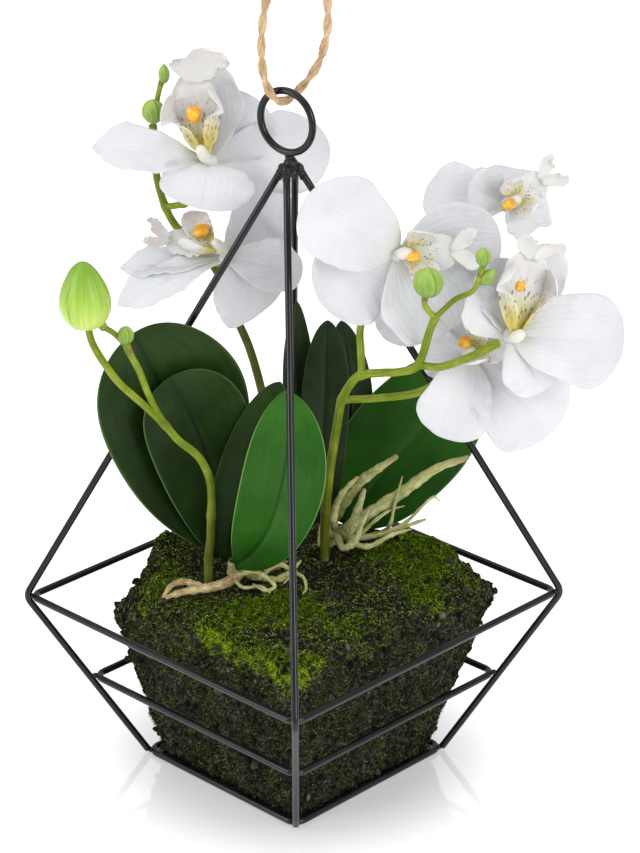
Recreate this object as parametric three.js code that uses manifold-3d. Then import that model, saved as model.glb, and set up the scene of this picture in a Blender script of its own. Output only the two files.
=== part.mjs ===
// A moth orchid in a hanging basket of bent wire: two orchid plants with three flower spikes stand in a
// tapered block of peat and moss, inside a four-sided cage that hangs by a ring from a loop of jute rope.
// Millimetres, +Z up. The origin is the middle of the tray's underside, where the basket stands.
import * as THREE from 'three';
import { mergeVertices } from 'three/addons/utils/BufferGeometryUtils.js';
import Module from 'manifold-3d';

const wasm = await Module();
wasm.setup();

// Driving dimensions of the basket
const WIRE = 3;                 // every wire's diameter
const GAP = 0.3;                // clearance between pieces that touch
const WAIST_REACH = 113;        // axis of the basket to a corner wire's axis, at its bend
const WAIST_UP = 76.8;          // height of the bend
const FOOT_REACH = 64;          // the same at the wire's lower end
const FOOT_UP = 1.7;
const CROWN_REACH = 4.2;        // and at its top end, under the ring
const CROWN_UP = 266.5;
const CROWN_SIDESTEP = 1.7;     // the front and back wires end side by side
const BEND = 6;                 // bend radius of a corner wire
const HOOP_BEND = 5;            // bend radius of a hoop's corners
const LOWER_UP = 38.1;          // height of the lower hoop
const TRAY = 1;                 // thickness of the tray's sheet
const RING = 12.75;             // the ring's radius, to the middle of its wire
const RING_UP = 287.6;
const RING_ASIDE = 1.6;         // the ring stands a little left of the basket's axis
const RING_TURN = THREE.MathUtils.degToRad(9);
const JOINT = { radius: 3, low: 265.2, high: 273.2, knuckle: 1.75, knuckleUp: 268.3, spread: 3.2 };

// Driving dimensions of the soil block
const SOIL_TOP = 56;            // half the width of the block at its upper edge
const SOIL_FOOT = 41.6;         // and where it stands on the tray
const SOIL_CELLS = 14;
const SOIL_LAYERS = 5;
const CRUMB = 1.3;              // how far the crumbs stand out

// Driving dimensions of the plant
const LEAF = 1.4;               // thickness of a leaf
const PETAL = 0.8;              // thickness of a petal
const HUB = 3.2;                // radius of the base that holds a bloom's petals
const HOLE = 14;                // depth of a planting hole

const ROPE = 3.5;               // the rope's diameter

// A place in the basket: across from its left corner to its right one, toward its front corner, and up
const at = (across, toward, up) =>
  new THREE.Vector3((across + toward) * Math.SQRT1_2, (across - toward) * Math.SQRT1_2, up);
const places = (list) => list.map((place) => at(...place));
const rough = (a, b) => {
  const wave = Math.sin(a * 12.9898 + b * 78.233) * 43758.5453;
  return wave - Math.floor(wave) - 0.5;
};

// Solids are built as points and faces, and turned inside out where the faces point inwards
function solid(points, faces) {
  const geometry = new THREE.BufferGeometry();
  const position = new THREE.Float32BufferAttribute(points.flatMap((p) => p.toArray()), 3);
  geometry.setAttribute('position', position);
  const volume = faces.reduce((sum, [a, b, c]) => {
    const normal = new THREE.Vector3().crossVectors(points[b], points[c]);
    return sum + points[a].dot(normal);
  }, 0);
  geometry.setIndex((volume < 0 ? faces.map(([a, b, c]) => [a, c, b]) : faces).flat());
  return geometry;
}

// A round rod along stations, with a radius that may change with the fraction of the way along
function tube(points, radius, sides, closed = false) {
  const count = points.length;
  const before = (i) => points[closed ? (i + count - 1) % count : Math.max(i - 1, 0)];
  const after = (i) => points[closed ? (i + 1) % count : Math.min(i + 1, count - 1)];
  const along = points.map((p, i) => new THREE.Vector3().subVectors(after(i), before(i)).normalize());
  const start = Math.abs(along[0].z) > 0.9 ? new THREE.Vector3(1, 0, 0) : new THREE.Vector3(0, 0, 1);
  let side = start.addScaledVector(along[0], -start.dot(along[0])).normalize();
  const ring = [];
  points.forEach((point, i) => {
    side = side.clone().addScaledVector(along[i], -side.dot(along[i])).normalize();
    const other = new THREE.Vector3().crossVectors(along[i], side);
    const size = typeof radius === 'number' ? radius : radius(i / (count - 1));
    for (let k = 0; k < sides; k += 1) {
      const turn = (2 * Math.PI * (k + 0.5)) / sides;
      ring.push(point.clone().addScaledVector(side, size * Math.cos(turn))
        .addScaledVector(other, size * Math.sin(turn)));
    }
  });
  const faces = [];
  for (let i = 0; i < (closed ? count : count - 1); i += 1) {
    for (let k = 0; k < sides; k += 1) {
      const a = i * sides + k;
      const b = i * sides + ((k + 1) % sides);
      const c = ((i + 1) % count) * sides + k;
      const d = ((i + 1) % count) * sides + ((k + 1) % sides);
      faces.push([a, b, c], [b, d, c]);
    }
  }
  if (!closed) {
    for (let k = 1; k < sides - 1; k += 1) {
      const last = (count - 1) * sides;
      faces.push([0, k + 1, k], [last, last + k, last + k + 1]);
    }
  }
  return solid(ring, faces);
}

// A smooth rod through a few places
function stem(list, radius, steps, sides = 6) {
  const curve = new THREE.CatmullRomCurve3(places(list), false, 'catmullrom', 0.5);
  return tube(curve.getPoints(steps), radius, sides);
}

// The cubic that passes through four points a third of the way apart
function through([a, b, c, d]) {
  const mix = (p, q, r, s) => a.clone().multiplyScalar(p).addScaledVector(b, q)
    .addScaledVector(c, r).addScaledVector(d, s);
  return new THREE.CubicBezierCurve3(a, mix(-5 / 6, 3, -1.5, 1 / 3), mix(1 / 3, -1.5, 3, -5 / 6), d);
}

// A leaf or petal: a thin closed plate along a midrib, folded and cupped about it, with waved edges.
// The face is the way its upper side looks, at its base and at its tip.
function blade({ midrib, face, faceTip = face, width, belly = 1.2, round = 0.5, neck = 3,
  fold = 0, cup = 0, wave = 0, waves = 2.5, thick = PETAL, rows = 6, columns = 4 }) {
  const spine = through(midrib);
  const points = [];
  for (let i = 0; i <= rows; i += 1) {
    const u = 1 - (1 - i / rows) ** 1.5;
    const along = spine.getTangent(u);
    const up = face.clone().lerp(faceTip, u);
    up.addScaledVector(along, -up.dot(along)).normalize();
    const aside = new THREE.Vector3().crossVectors(along, up);
    const outline = Math.max(0, 1 - (2 * u ** belly - 1) ** 2) ** round;
    const half = Math.max((width / 2) * outline, neck * (1 - u), 0.6);
    const tilt = THREE.MathUtils.degToRad(fold) * (1 - 0.5 * u);
    for (let j = 0; j <= columns; j += 1) {
      const x = (2 * j) / columns - 1;
      const ripple = wave * Math.abs(x) ** 3 * Math.sin(2 * Math.PI * waves * u + 2 * x) * outline;
      const lift = Math.abs(x) * half * Math.sin(tilt) + cup * half * x * x + ripple;
      const place = spine.getPoint(u).addScaledVector(aside, x * half * Math.cos(tilt));
      points.push(place.clone().addScaledVector(up, lift + thick / 2));
      points.push(place.addScaledVector(up, lift - thick / 2));
    }
  }
  const id = (i, j, under) => 2 * (i * (columns + 1) + j) + under;
  const faces = [];
  const quad = (a, b, c, d) => faces.push([a, b, c], [a, c, d]);
  for (let i = 0; i < rows; i += 1) {
    for (let j = 0; j < columns; j += 1) {
      faces.push([id(i, j, 0), id(i, j + 1, 0), id(i + 1, j + 1, 0)]);
      faces.push([id(i, j, 0), id(i + 1, j + 1, 0), id(i + 1, j, 0)]);
      faces.push([id(i, j, 1), id(i + 1, j + 1, 1), id(i, j + 1, 1)]);
      faces.push([id(i, j, 1), id(i + 1, j, 1), id(i + 1, j + 1, 1)]);
    }
    quad(id(i, 0, 0), id(i + 1, 0, 0), id(i + 1, 0, 1), id(i, 0, 1));
    quad(id(i, columns, 1), id(i + 1, columns, 1), id(i + 1, columns, 0), id(i, columns, 0));
  }
  for (let j = 0; j < columns; j += 1) {
    quad(id(0, j + 1, 0), id(0, j, 0), id(0, j, 1), id(0, j + 1, 1));
    quad(id(rows, j, 0), id(rows, j + 1, 0), id(rows, j + 1, 1), id(rows, j, 1));
  }
  return solid(points, faces);
}

// A bud or knob: a ball stretched along a direction, and drawn to a point if it has one
const UPRIGHT = new THREE.Vector3(0, 0, 1);
function ball(centre, radius, { along = UPRIGHT, stretch = 1, point = 0, rings = 4, sides = 6 } = {}) {
  const profile = Array.from({ length: rings + 1 }, (_, i) => {
    const angle = (Math.PI * i) / rings;
    const narrow = 1 - 0.6 * point * Math.max(0, -Math.cos(angle)) ** 2;
    const wide = i === 0 || i === rings ? 0 : radius * Math.sin(angle) * narrow;
    return new THREE.Vector2(wide, -radius * stretch * Math.cos(angle));
  });
  return new THREE.LatheGeometry(profile, sides).rotateX(Math.PI / 2)
    .applyQuaternion(new THREE.Quaternion().setFromUnitVectors(UPRIGHT, along.clone().normalize()))
    .translate(centre.x, centre.y, centre.z);
}

// Joining and cutting
function body(geometry) {
  const bare = geometry.clone();
  bare.deleteAttribute('normal');
  bare.deleteAttribute('uv');
  const merged = mergeVertices(bare, 1e-4);
  const index = merged.getIndex().array;
  const kept = [];
  for (let i = 0; i < index.length; i += 3) {
    const [a, b, c] = [index[i], index[i + 1], index[i + 2]];
    if (a !== b && b !== c && a !== c) kept.push(a, b, c);
  }
  const mesh = new wasm.Mesh({
    numProp: 3,
    vertProperties: new Float32Array(merged.getAttribute('position').array),
    triVerts: new Uint32Array(kept),
  });
  return new wasm.Manifold(mesh);
}

function shown(manifold) {
  const { vertProperties, triVerts } = manifold.getMesh();
  const geometry = new THREE.BufferGeometry();
  geometry.setAttribute('position', new THREE.BufferAttribute(new Float32Array(vertProperties), 3));
  geometry.setIndex([...triVerts]);
  return geometry;
}

const fuse = (pieces) => shown(pieces.map(body).reduce((sum, piece) => sum.add(piece)));
const carve = (block, cutters) =>
  shown(cutters.map(body).reduce((left, piece) => left.subtract(piece), body(block)));

// Finishes
const finish = (color, roughness, metalness = 0) =>
  new THREE.MeshStandardMaterial({ color, roughness, metalness });
const FINISHES = {
  wire: finish(0x17171a, 0.4, 0.6),
  tray: finish(0x101012, 0.25, 0.5),
  rope: finish(0xc69a62, 0.95),
  soil: finish(0x2f3a16, 1),
  leaf: finish(0x1f4a22, 0.45),
  stem: finish(0x8f9f45, 0.55),
  bud: finish(0x93b94c, 0.5),
  root: finish(0xb9b983, 0.75),
  petal: finish(0xf4f3f8, 0.6),
  lip: finish(0xf3e9bf, 0.6),
};
const plant = new THREE.Group();
function add(name, geometry, material) {
  const mesh = new THREE.Mesh(geometry, FINISHES[material]);
  mesh.name = name;
  plant.add(mesh);
}

// Corner wires: each one runs from under the ring to its bend at the waist, and in again to the foot
const CORNERS = {
  front: { turn: [0, 1], step: [-CROWN_SIDESTEP, 0] },
  back: { turn: [0, -1], step: [CROWN_SIDESTEP, 0] },
  left: { turn: [-1, 0], step: [0, 0] },
  right: { turn: [1, 0], step: [0, 0] },
};

function cornerWire({ turn: [across, toward], step: [aside, ahead] }) {
  const out = (reach, up, share = 0) =>
    at(across * reach + aside * share, toward * reach + ahead * share, up);
  const top = out(CROWN_REACH, CROWN_UP, 1);
  const foot = out(FOOT_REACH, FOOT_UP);
  const sharp = out(WAIST_REACH + 1, WAIST_UP);
  const toTop = new THREE.Vector3().subVectors(top, sharp).normalize();
  const toFoot = new THREE.Vector3().subVectors(foot, sharp).normalize();
  const opening = toTop.angleTo(toFoot) / 2;
  const setback = BEND / Math.tan(opening);
  const bend = new THREE.QuadraticBezierCurve3(sharp.clone().addScaledVector(toTop, setback), sharp,
    sharp.clone().addScaledVector(toFoot, setback));
  return tube([top, ...bend.getPoints(4), foot], WIRE / 2, 8);
}
Object.entries(CORNERS).forEach(([name, corner]) => add(`corner_wire_${name}`, cornerWire(corner), 'wire'));

// Hoops: square, with rounded corners just inside the corner wires
const legSlope = Math.hypot(WAIST_REACH - FOOT_REACH, WAIST_UP - FOOT_UP) / (WAIST_UP - FOOT_UP);
function wireReach(up) {
  return FOOT_REACH + ((WAIST_REACH - FOOT_REACH) * (up - FOOT_UP)) / (WAIST_UP - FOOT_UP);
}
const hoopReach = (up) => wireReach(up) - (WIRE + GAP) * (up < WAIST_UP ? legSlope : 1);
const FOOT_HOOP_REACH = FOOT_REACH - WIRE + 0.2;
const halfSide = (reach) => (reach - HOOP_BEND) * Math.SQRT1_2 + HOOP_BEND;

function hoop(up, reach = hoopReach(up)) {
  const half = halfSide(reach);
  const points = [];
  for (let corner = 0; corner < 4; corner += 1) {
    for (let i = 0; i <= 4; i += 1) {
      const angle = (Math.PI / 2) * (corner + i / 4);
      const middle = new THREE.Vector3(half - HOOP_BEND, half - HOOP_BEND, up)
        .applyAxisAngle(new THREE.Vector3(0, 0, 1), (Math.PI / 2) * corner);
      points.push(middle.add(new THREE.Vector3(Math.cos(angle), Math.sin(angle), 0).multiplyScalar(HOOP_BEND)));
    }
  }
  return tube(points, WIRE / 2, 8, true);
}
const BASE_UP = (WIRE / 2) * Math.cos(Math.PI / 8);
add('waist_hoop', hoop(WAIST_UP), 'wire');
add('lower_hoop', hoop(LOWER_UP), 'wire');
add('base_hoop', hoop(BASE_UP, FOOT_HOOP_REACH), 'wire');

// The tray is a flat sheet inside the base hoop
const trayHalf = halfSide(FOOT_HOOP_REACH) - WIRE / 2 - GAP;
function trayOutline() {
  const r = HOOP_BEND - WIRE / 2 - GAP;
  const h = trayHalf;
  const outline = new THREE.Shape();
  outline.moveTo(h, -h + r);
  outline.lineTo(h, h - r).absarc(h - r, h - r, r, 0, Math.PI / 2);
  outline.lineTo(-h + r, h).absarc(-h + r, h - r, r, Math.PI / 2, Math.PI);
  outline.lineTo(-h, -h + r).absarc(-h + r, -h + r, r, Math.PI, 1.5 * Math.PI);
  outline.lineTo(h - r, -h).absarc(h - r, -h + r, r, 1.5 * Math.PI, 2 * Math.PI);
  return outline;
}
const sheet = { depth: TRAY, bevelEnabled: false, curveSegments: 4 };
add('base_tray', new THREE.ExtrudeGeometry(trayOutline(), sheet), 'tray');

// The joint under the ring: a lump of weld between the four wire ends, and the ring that stands on it
const jointMiddle = (JOINT.low + JOINT.high) / 2;
const jointHeight = JOINT.high - JOINT.low;
function crownJoint() {
  const lump = ball(at(0, 0, jointMiddle), JOINT.radius, { stretch: jointHeight / (2 * JOINT.radius) });
  const knuckles = Object.values(CORNERS).map(({ turn: [across, toward], step: [aside] }) =>
    ball(at(across * JOINT.spread + aside, toward * JOINT.spread, JOINT.knuckleUp), JOINT.knuckle));
  return fuse([lump, ...knuckles]);
}
add('crown_joint', crownJoint(), 'wire');
add('hanging_ring', new THREE.TorusGeometry(RING, WIRE / 2, 6, 26).rotateX(Math.PI / 2).rotateZ(RING_TURN)
  .translate(...at(-RING_ASIDE, 0, RING_UP).toArray()), 'wire');

// The rope: up both sides of a loop that hangs through the ring, to a knot above it
const ROPE_ROUTE = [
  [0.5, 1, 381.4], [-1.5, 1, 374], [-4, 1, 364], [-6.5, 1, 352], [-9, 1, 339], [-10.8, 1, 328], [-11.3, 1, 317],
  [-10.5, 1, 307], [-8.2, 0.8, 300.2], [-5.6, 0.2, 296.8], [-2.6, -0.6, 295.9], [0.2, -1.8, 296.7],
  [2.8, -2.6, 299.2], [6.6, -3, 303.6], [10, -3, 308.4], [12.4, -2.6, 314], [14, -1.8, 320.4], [14.9, -0.8, 328],
  [14.6, 0, 339], [12.6, 0, 352], [9.6, 0, 364], [6.6, 0, 374], [4.6, 0, 381.4],
];
const KNOT = at(2.5, 0.5, 386.5);
function ropeLoop() {
  const path = new THREE.CatmullRomCurve3(places(ROPE_ROUTE), false, 'catmullrom', 0.5);
  const round = new THREE.Path().absarc(0, 0, ROPE / 2, 0, 2 * Math.PI);
  const section = new THREE.Shape(round.getPoints(2).slice(0, 8));
  return new THREE.ExtrudeGeometry(section, { steps: 26, bevelEnabled: false, extrudePath: path });
}
function ropeKnot() {
  const lump = ball(KNOT, 5.2, { stretch: 0.98, rings: 6, sides: 8 });
  const tails = [
    [[3, 0, 389], [5.5, 1.5, 395], [9.5, 2.5, 400.5]],
    [[2, 1, 389], [0.5, 2.5, 396], [-3, 3.5, 401.5]],
  ].map((tail) => stem(tail, ROPE / 2, 3));
  return fuse([lump, ...tails]);
}
add('rope_loop', ropeLoop(), 'rope');
add('rope_knot', ropeKnot(), 'rope');

// Soil: a block that tapers to the tray, with a humped and crumbly top
const HUMPS = [
  { place: [-50, -22], rise: 8, spread: 13 },
  { place: [48, -24], rise: 9, spread: 17 },
  { place: [-2, 2], rise: 3, spread: 30 },
  { place: [-79, 0], rise: -11, spread: 13 },
  { place: [82, 0], rise: -4, spread: 12 },
];
function soilTop(across, toward) {
  return HUMPS.reduce((up, { place: [a, t], rise, spread }) =>
    up + rise * Math.exp(-((across - a) ** 2 + (toward - t) ** 2) / (2 * spread * spread)), 82);
}
const soilFoot = TRAY + GAP;
function soilBlock() {
  const n = SOIL_CELLS;
  const points = [];
  const lookup = new Map();
  const put = (key, point) => { lookup.set(key, points.length); points.push(point); };
  const shape = (x, y, layer) => {
    const share = layer / SOIL_LAYERS;
    const half = SOIL_TOP + (SOIL_FOOT - SOIL_TOP) * share;
    const across = (x + y) * half * Math.SQRT1_2;
    const toward = (x - y) * half * Math.SQRT1_2;
    const top = soilTop(across, toward) + CRUMB * 1.6 * rough(x * 3.1, y * 1.7);
    const edge = Math.max(Math.abs(x), Math.abs(y)) === 1 && share < 1;
    const bulge = edge ? CRUMB * (rough(x * 5 + layer, y * 7) - 0.2) : 0;
    return new THREE.Vector3(x * (half + bulge), y * (half + bulge), top + (soilFoot - top) * share);
  };
  for (let i = 0; i <= n; i += 1) {
    for (let j = 0; j <= n; j += 1) put(`${i},${j},0`, shape((2 * i) / n - 1, (2 * j) / n - 1, 0));
  }
  const rim = [];
  for (let i = 0; i < n; i += 1) rim.push([i, 0]);
  for (let i = 0; i < n; i += 1) rim.push([n, i]);
  for (let i = n; i > 0; i -= 1) rim.push([i, n]);
  for (let i = n; i > 0; i -= 1) rim.push([0, i]);
  for (let layer = 1; layer <= SOIL_LAYERS; layer += 1) {
    rim.forEach(([i, j]) => put(`${i},${j},${layer}`, shape((2 * i) / n - 1, (2 * j) / n - 1, layer)));
  }
  put('foot', new THREE.Vector3(0, 0, soilFoot));
  const id = (i, j, layer) => lookup.get(`${i},${j},${layer}`);
  const faces = [];
  for (let i = 0; i < n; i += 1) {
    for (let j = 0; j < n; j += 1) {
      faces.push([id(i, j, 0), id(i + 1, j, 0), id(i + 1, j + 1, 0)]);
      faces.push([id(i, j, 0), id(i + 1, j + 1, 0), id(i, j + 1, 0)]);
    }
  }
  rim.forEach(([i, j], k) => {
    const [p, q] = rim[(k + 1) % rim.length];
    for (let layer = 0; layer < SOIL_LAYERS; layer += 1) {
      faces.push([id(p, q, layer), id(i, j, layer), id(i, j, layer + 1)]);
      faces.push([id(p, q, layer), id(i, j, layer + 1), id(p, q, layer + 1)]);
    }
    faces.push([lookup.get('foot'), id(p, q, SOIL_LAYERS), id(i, j, SOIL_LAYERS)]);
  });
  return solid(points, faces);
}

// What stands in the soil: a crown for each plant, and the three flower spikes
const CROWNS = {
  left: { place: [-24, -4], radius: 5, high: 97 },
  right: { place: [15, -32], radius: 5, high: 100 },
};
const SPIKES = {
  back: {
    root: [-9, -19], radius: 2.3,
    main: [[-9, -19, 100], [-9.5, -19, 122], [-10.5, -20, 144.3], [-13, -21, 162], [-17.7, -23, 180],
      [-22.8, -26, 192], [-27.8, -29, 205], [-33.9, -30.5, 217], [-42, -31, 226], [-48.1, -31.5, 232.5],
      [-52.1, -31.5, 241], [-55, -31, 252.8], [-56, -31, 265.8], [-56.2, -30.5, 276]],
    branches: [
      { path: [[-52.1, -31, 240.6], [-46.6, -28, 242.5], [-42.3, -25.5, 244.8], [-37, -23, 257],
          [-34.6, -21.2, 261]],
        radius: 1.7 },
      { path: [[-33.9, -30.5, 217], [-30, -24, 218], [-27.7, -15.2, 223.3]], radius: 1.7 },
      { path: [[-56.2, -30.5, 275], [-54, -30.5, 288], [-51.3, -30.1, 298]], radius: 1.3 },
    ],
    buds: [
      { place: [-55.8, -29.5, 282.5], radius: 4.8, stretch: 1.05 },
      { place: [-51.1, -30.1, 298.3], radius: 2.3, stretch: 1.8, point: 0.8 },
    ],
  },
  right: {
    root: [13, -15], radius: 2.4,
    main: [[13.4, -15, 95], [13.4, -12, 105.7], [15.5, -4, 132.8], [18.7, 4, 159.3], [20.3, 8, 170.1],
      [24.3, 14, 180.6], [28.3, 17, 185], [36.2, 23, 188.4], [43.3, 28, 190.9], [50.2, 34.1, 196.4],
      [54.3, 46.1, 216.4], [56, 50.1, 223.1]],
    branches: [
      { path: [[28.3, 17, 185], [27.8, 17, 196], [27.8, 17, 207], [33, 17, 222], [38.6, 20.5, 234],
          [40.3, 24.2, 239]],
        radius: 1.9 },
      { path: [[29.6, 17, 214], [43.7, 8, 230.6], [64, 2, 241.1], [79.9, 2.5, 249.6],
          [84.4, 6.1, 252.9]], radius: 1.7 },
      { path: [[20.3, 8, 170.1], [35.9, 8, 170.8], [52.3, 9, 173.8], [64, 15, 184.7],
          [70.1, 25.6, 195.9]], radius: 2 },
      { path: [[50.2, 34.1, 196.4], [58.7, 41, 198.4], [66.3, 47, 203.5], [74, 50.1, 208.4],
          [81, 48.6, 211.6]], radius: 1.9 },
      { path: [[56, 50.1, 223.1], [51.9, 52.1, 229.4], [52.5, 53.5, 236.5]], radius: 1.4 },
      { path: [[56, 50.1, 223.1], [63.6, 52.1, 231.5], [70.8, 54.1, 236.4], [74.1, 56, 247]], radius: 1.3 },
    ],
    buds: [
      { place: [53, 54, 239.5], radius: 6, stretch: 1.02 },
      { place: [74.1, 56, 250.8], radius: 3, stretch: 1.3, point: 0.5 },
      { place: [76.1, 55, 242.1], radius: 2.7, stretch: 1.5, point: 0.8, along: [0.6, 0, 0.8] },
    ],
  },
  front: {
    root: [-36, 5.4], radius: 2.2,
    main: [[-36, 5.6, 96], [-34.9, 8, 106.4], [-34.4, 11, 117.2], [-33.9, 15, 128.3], [-34.3, 20, 139.8],
      [-36.5, 24, 148.5], [-40, 27, 155.2], [-46.6, 29.9, 162.5], [-51.7, 31.9, 170.1], [-59, 34, 179],
      [-69, 38, 191], [-75, 40, 201], [-79, 42, 210], [-80.5, 42, 216.4]],
    branches: [
      { path: [[-51.7, 31.9, 170.1], [-57, 34, 182], [-61, 36, 195], [-65, 38, 205],
          [-66, 38, 209]], radius: 1.7 },
      { path: [[-65, 38, 206], [-70, 38, 212], [-74, 38, 215]], radius: 1.4 },
    ],
    buds: [
      { place: [-66, 38.5, 212], radius: 3.3, stretch: 1.15 },
      { place: [-75, 38, 216], radius: 1.7, stretch: 1.4, point: 0.6 },
    ],
  },
};
const rootUp = (place) => soilTop(...place) - HOLE + GAP;
const planting = ({ place, radius }) => {
  const [across, toward] = place;
  const low = soilTop(across, toward) - HOLE;
  return tube([at(across, toward, low), at(across, toward, low + HOLE * 2)], radius + GAP + 0.25, 12);
};
const spikeFeet = Object.values(SPIKES).map(({ root, radius }) => ({ place: root, radius }));
const holes = [...Object.values(CROWNS), ...spikeFeet];
add('soil_block', carve(soilBlock(), holes.map(planting)), 'soil');

function flowerSpike({ root, radius, main, branches, buds }) {
  const shaft = stem([[...root, rootUp(root)], ...main], (u) => radius * (1.05 - 0.25 * u), main.length + 2);
  const sides = branches.map(({ path, radius: r }) => stem(path, r, path.length + 1, 5));
  const knobs = buds.map(({ place, radius: r, stretch, point, along = [0, 0, 1] }) =>
    ball(at(...place), r, { stretch, point, along: at(...along), rings: 5, sides: 7 }));
  return fuse([shaft, ...sides, ...knobs]);
}
Object.entries(SPIKES).forEach(([name, spike]) => add(`flower_spike_${name}`, flowerSpike(spike), 'stem'));

// The big bud is a piece of its own, ribbed lengthwise, on the end of the front spike
const BUD = { foot: [-81, 42, 217.2], radius: 10.6, height: 27 };
function bigBud() {
  const sides = 12;
  const rings = 7;
  const foot = at(...BUD.foot);
  const axis = at(-0.04, 0, 1).normalize();
  const geometry = ball(new THREE.Vector3(), 1, { rings, sides });
  const turn = new THREE.Quaternion().setFromUnitVectors(new THREE.Vector3(0, 0, 1), axis);
  const position = geometry.getAttribute('position');
  for (let i = 0; i < position.count; i += 1) {
    const p = new THREE.Vector3().fromBufferAttribute(position, i);
    const share = (p.z + 1) / 2;
    const rib = 1 + 0.05 * Math.cos(6 * Math.atan2(p.y, p.x));
    const waist = BUD.radius * rib * (1.12 - 0.34 * share);
    const high = BUD.height * (share + 0.3 * Math.max(0, share - 0.8));
    p.set(p.x * waist, p.y * waist, Math.max(high - 1.2, 0.2)).applyQuaternion(turn).add(foot);
    position.setXYZ(i, p.x, p.y, p.z);
  }
  return fuse([geometry]);
}
add('big_bud', bigBud(), 'bud');

// Crowns, with the aerial roots that grow from them
const ROOTS = {
  left: [
    { path: [[-22, -3, 92], [-22, 3, 90.5], [-25, 9, 89], [-32, 14, 88], [-40, 18, 88],
        [-47, 21, 88], [-53, 24, 87.6]], radius: 2 },
    { path: [[-23, -3, 89], [-19, 5, 88.5], [-13, 10, 89.4], [-5, 13, 90.4], [1, 11, 93]], radius: 1.6 },
    { path: [[-22, -4, 89], [-14, -4, 89.5], [-8, 4, 91], [-3, 8, 96]], radius: 1.5 },
  ],
  right: [
    { path: [[15, -32, 92], [21, -24, 94], [32, -17, 106], [45, -13, 117], [60, -10, 130],
        [73, -8, 136]], radius: 2.2 },
    { path: [[16, -32, 95], [22.5, -22, 111], [28, -14, 122], [34, -8, 130], [43, -5, 138]], radius: 2 },
    { path: [[17, -31, 92], [23, -20, 96], [27, -14, 108], [30, -11, 120]], radius: 2.2 },
    { path: [[17, -31, 91], [24, -18, 94], [38, -12, 99], [56, -13, 105]], radius: 1.5 },
    { path: [[17, -30, 91], [28, -20, 94], [40, -15, 100], [43, -10, 114], [46, -9, 127]], radius: 0.9 },
  ],
};
function crown({ place, radius, high }, roots) {
  const low = rootUp(place);
  const shaft = tube([at(...place, low), at(...place, high - 6), at(...place, high)],
    (u) => radius * (1 - 0.45 * u * u), 8);
  const arms = roots.map(({ path, radius: r }) => stem(path, (u) => r * (1.1 - 0.75 * u * u), path.length + 1, 5));
  return fuse([shaft, ...arms]);
}
Object.entries(CROWNS).forEach(([name, spec]) => add(`crown_${name}`, crown(spec, ROOTS[name]), 'root'));

// Leaves: four places along the midrib, the full width, and the way the upper side looks
const LEAVES = {
  big_left: { midrib: [[-27.2, -8.3, 93], [-42.5, -2.6, 134.3], [-50, 8, 173], [-53, 14, 206]], width: 67,
    face: [0.45, 0.75, 0.3], faceTip: [0.15, 1, 0.35], fold: 12, belly: 1.15, round: 0.55 },
  inner_left: { midrib: [[-30.6, -1.4, 94], [-37, 4, 137], [-45.5, 14, 170], [-51, 18, 189]], width: 37,
    face: [0.3, 0.9, 0.2], faceTip: [0.3, 1, 0.2], fold: 9, belly: 1.15, round: 0.5 },
  middle_left: { midrib: [[-27.6, 2.4, 94], [-23, 5.5, 119], [-15, 8, 149], [-5, 6, 177.4]], width: 26,
    face: [-0.15, 1, 0.1], fold: 3, belly: 1, round: 0.6 },
  front: { midrib: [[-18.5, 4.6, 95], [-10.5, 27, 121], [-4.5, 34, 155], [-1, 28, 182]], width: 38,
    face: [0, 1, 0.2], faceTip: [0, 1, 0.2], fold: 14, belly: 0.95, round: 0.68 },
  back_narrow: { neck: 2.6, midrib: [[8, -33, 95], [4, -38, 125], [2, -36, 160], [2, -34, 197]], width: 17,
    face: [0.5, 1, 0.2], faceTip: [0.7, 1, 0.2], fold: 14, belly: 1.1, round: 0.6 },
  back_middle: { neck: 2.6, midrib: [[12, -27, 97], [12.6, -28, 125], [14, -29, 160], [15, -31, 189.5]], width: 21,
    face: [0, 1, 0.1], fold: 12, belly: 1.1, round: 0.6 },
  back_right: { neck: 2.6, midrib: [[17, -36.8, 97], [24, -43.5, 125], [25, -46, 155], [21, -44, 184]], width: 20,
    face: [-0.2, 1, 0.1], fold: 14, belly: 1.1, round: 0.6 },
  big_right: { midrib: [[21.8, -32, 94], [38, -33, 118], [57, -32, 143], [77, -27, 172]], width: 51,
    face: [-0.1, 0.9, 0.4], faceTip: [-0.1, 0.9, 0.4], fold: 8, belly: 1.1, round: 0.5 },
};
Object.entries(LEAVES).forEach(([name, { midrib, face, faceTip = face, ...rest }]) => {
  const leaf = blade({ midrib: places(midrib), face: at(...face), faceTip: at(...faceTip), neck: 3.4,
    thick: LEAF, rows: 8, ...rest });
  add(`leaf_${name}`, leaf, 'leaf');
});

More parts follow.
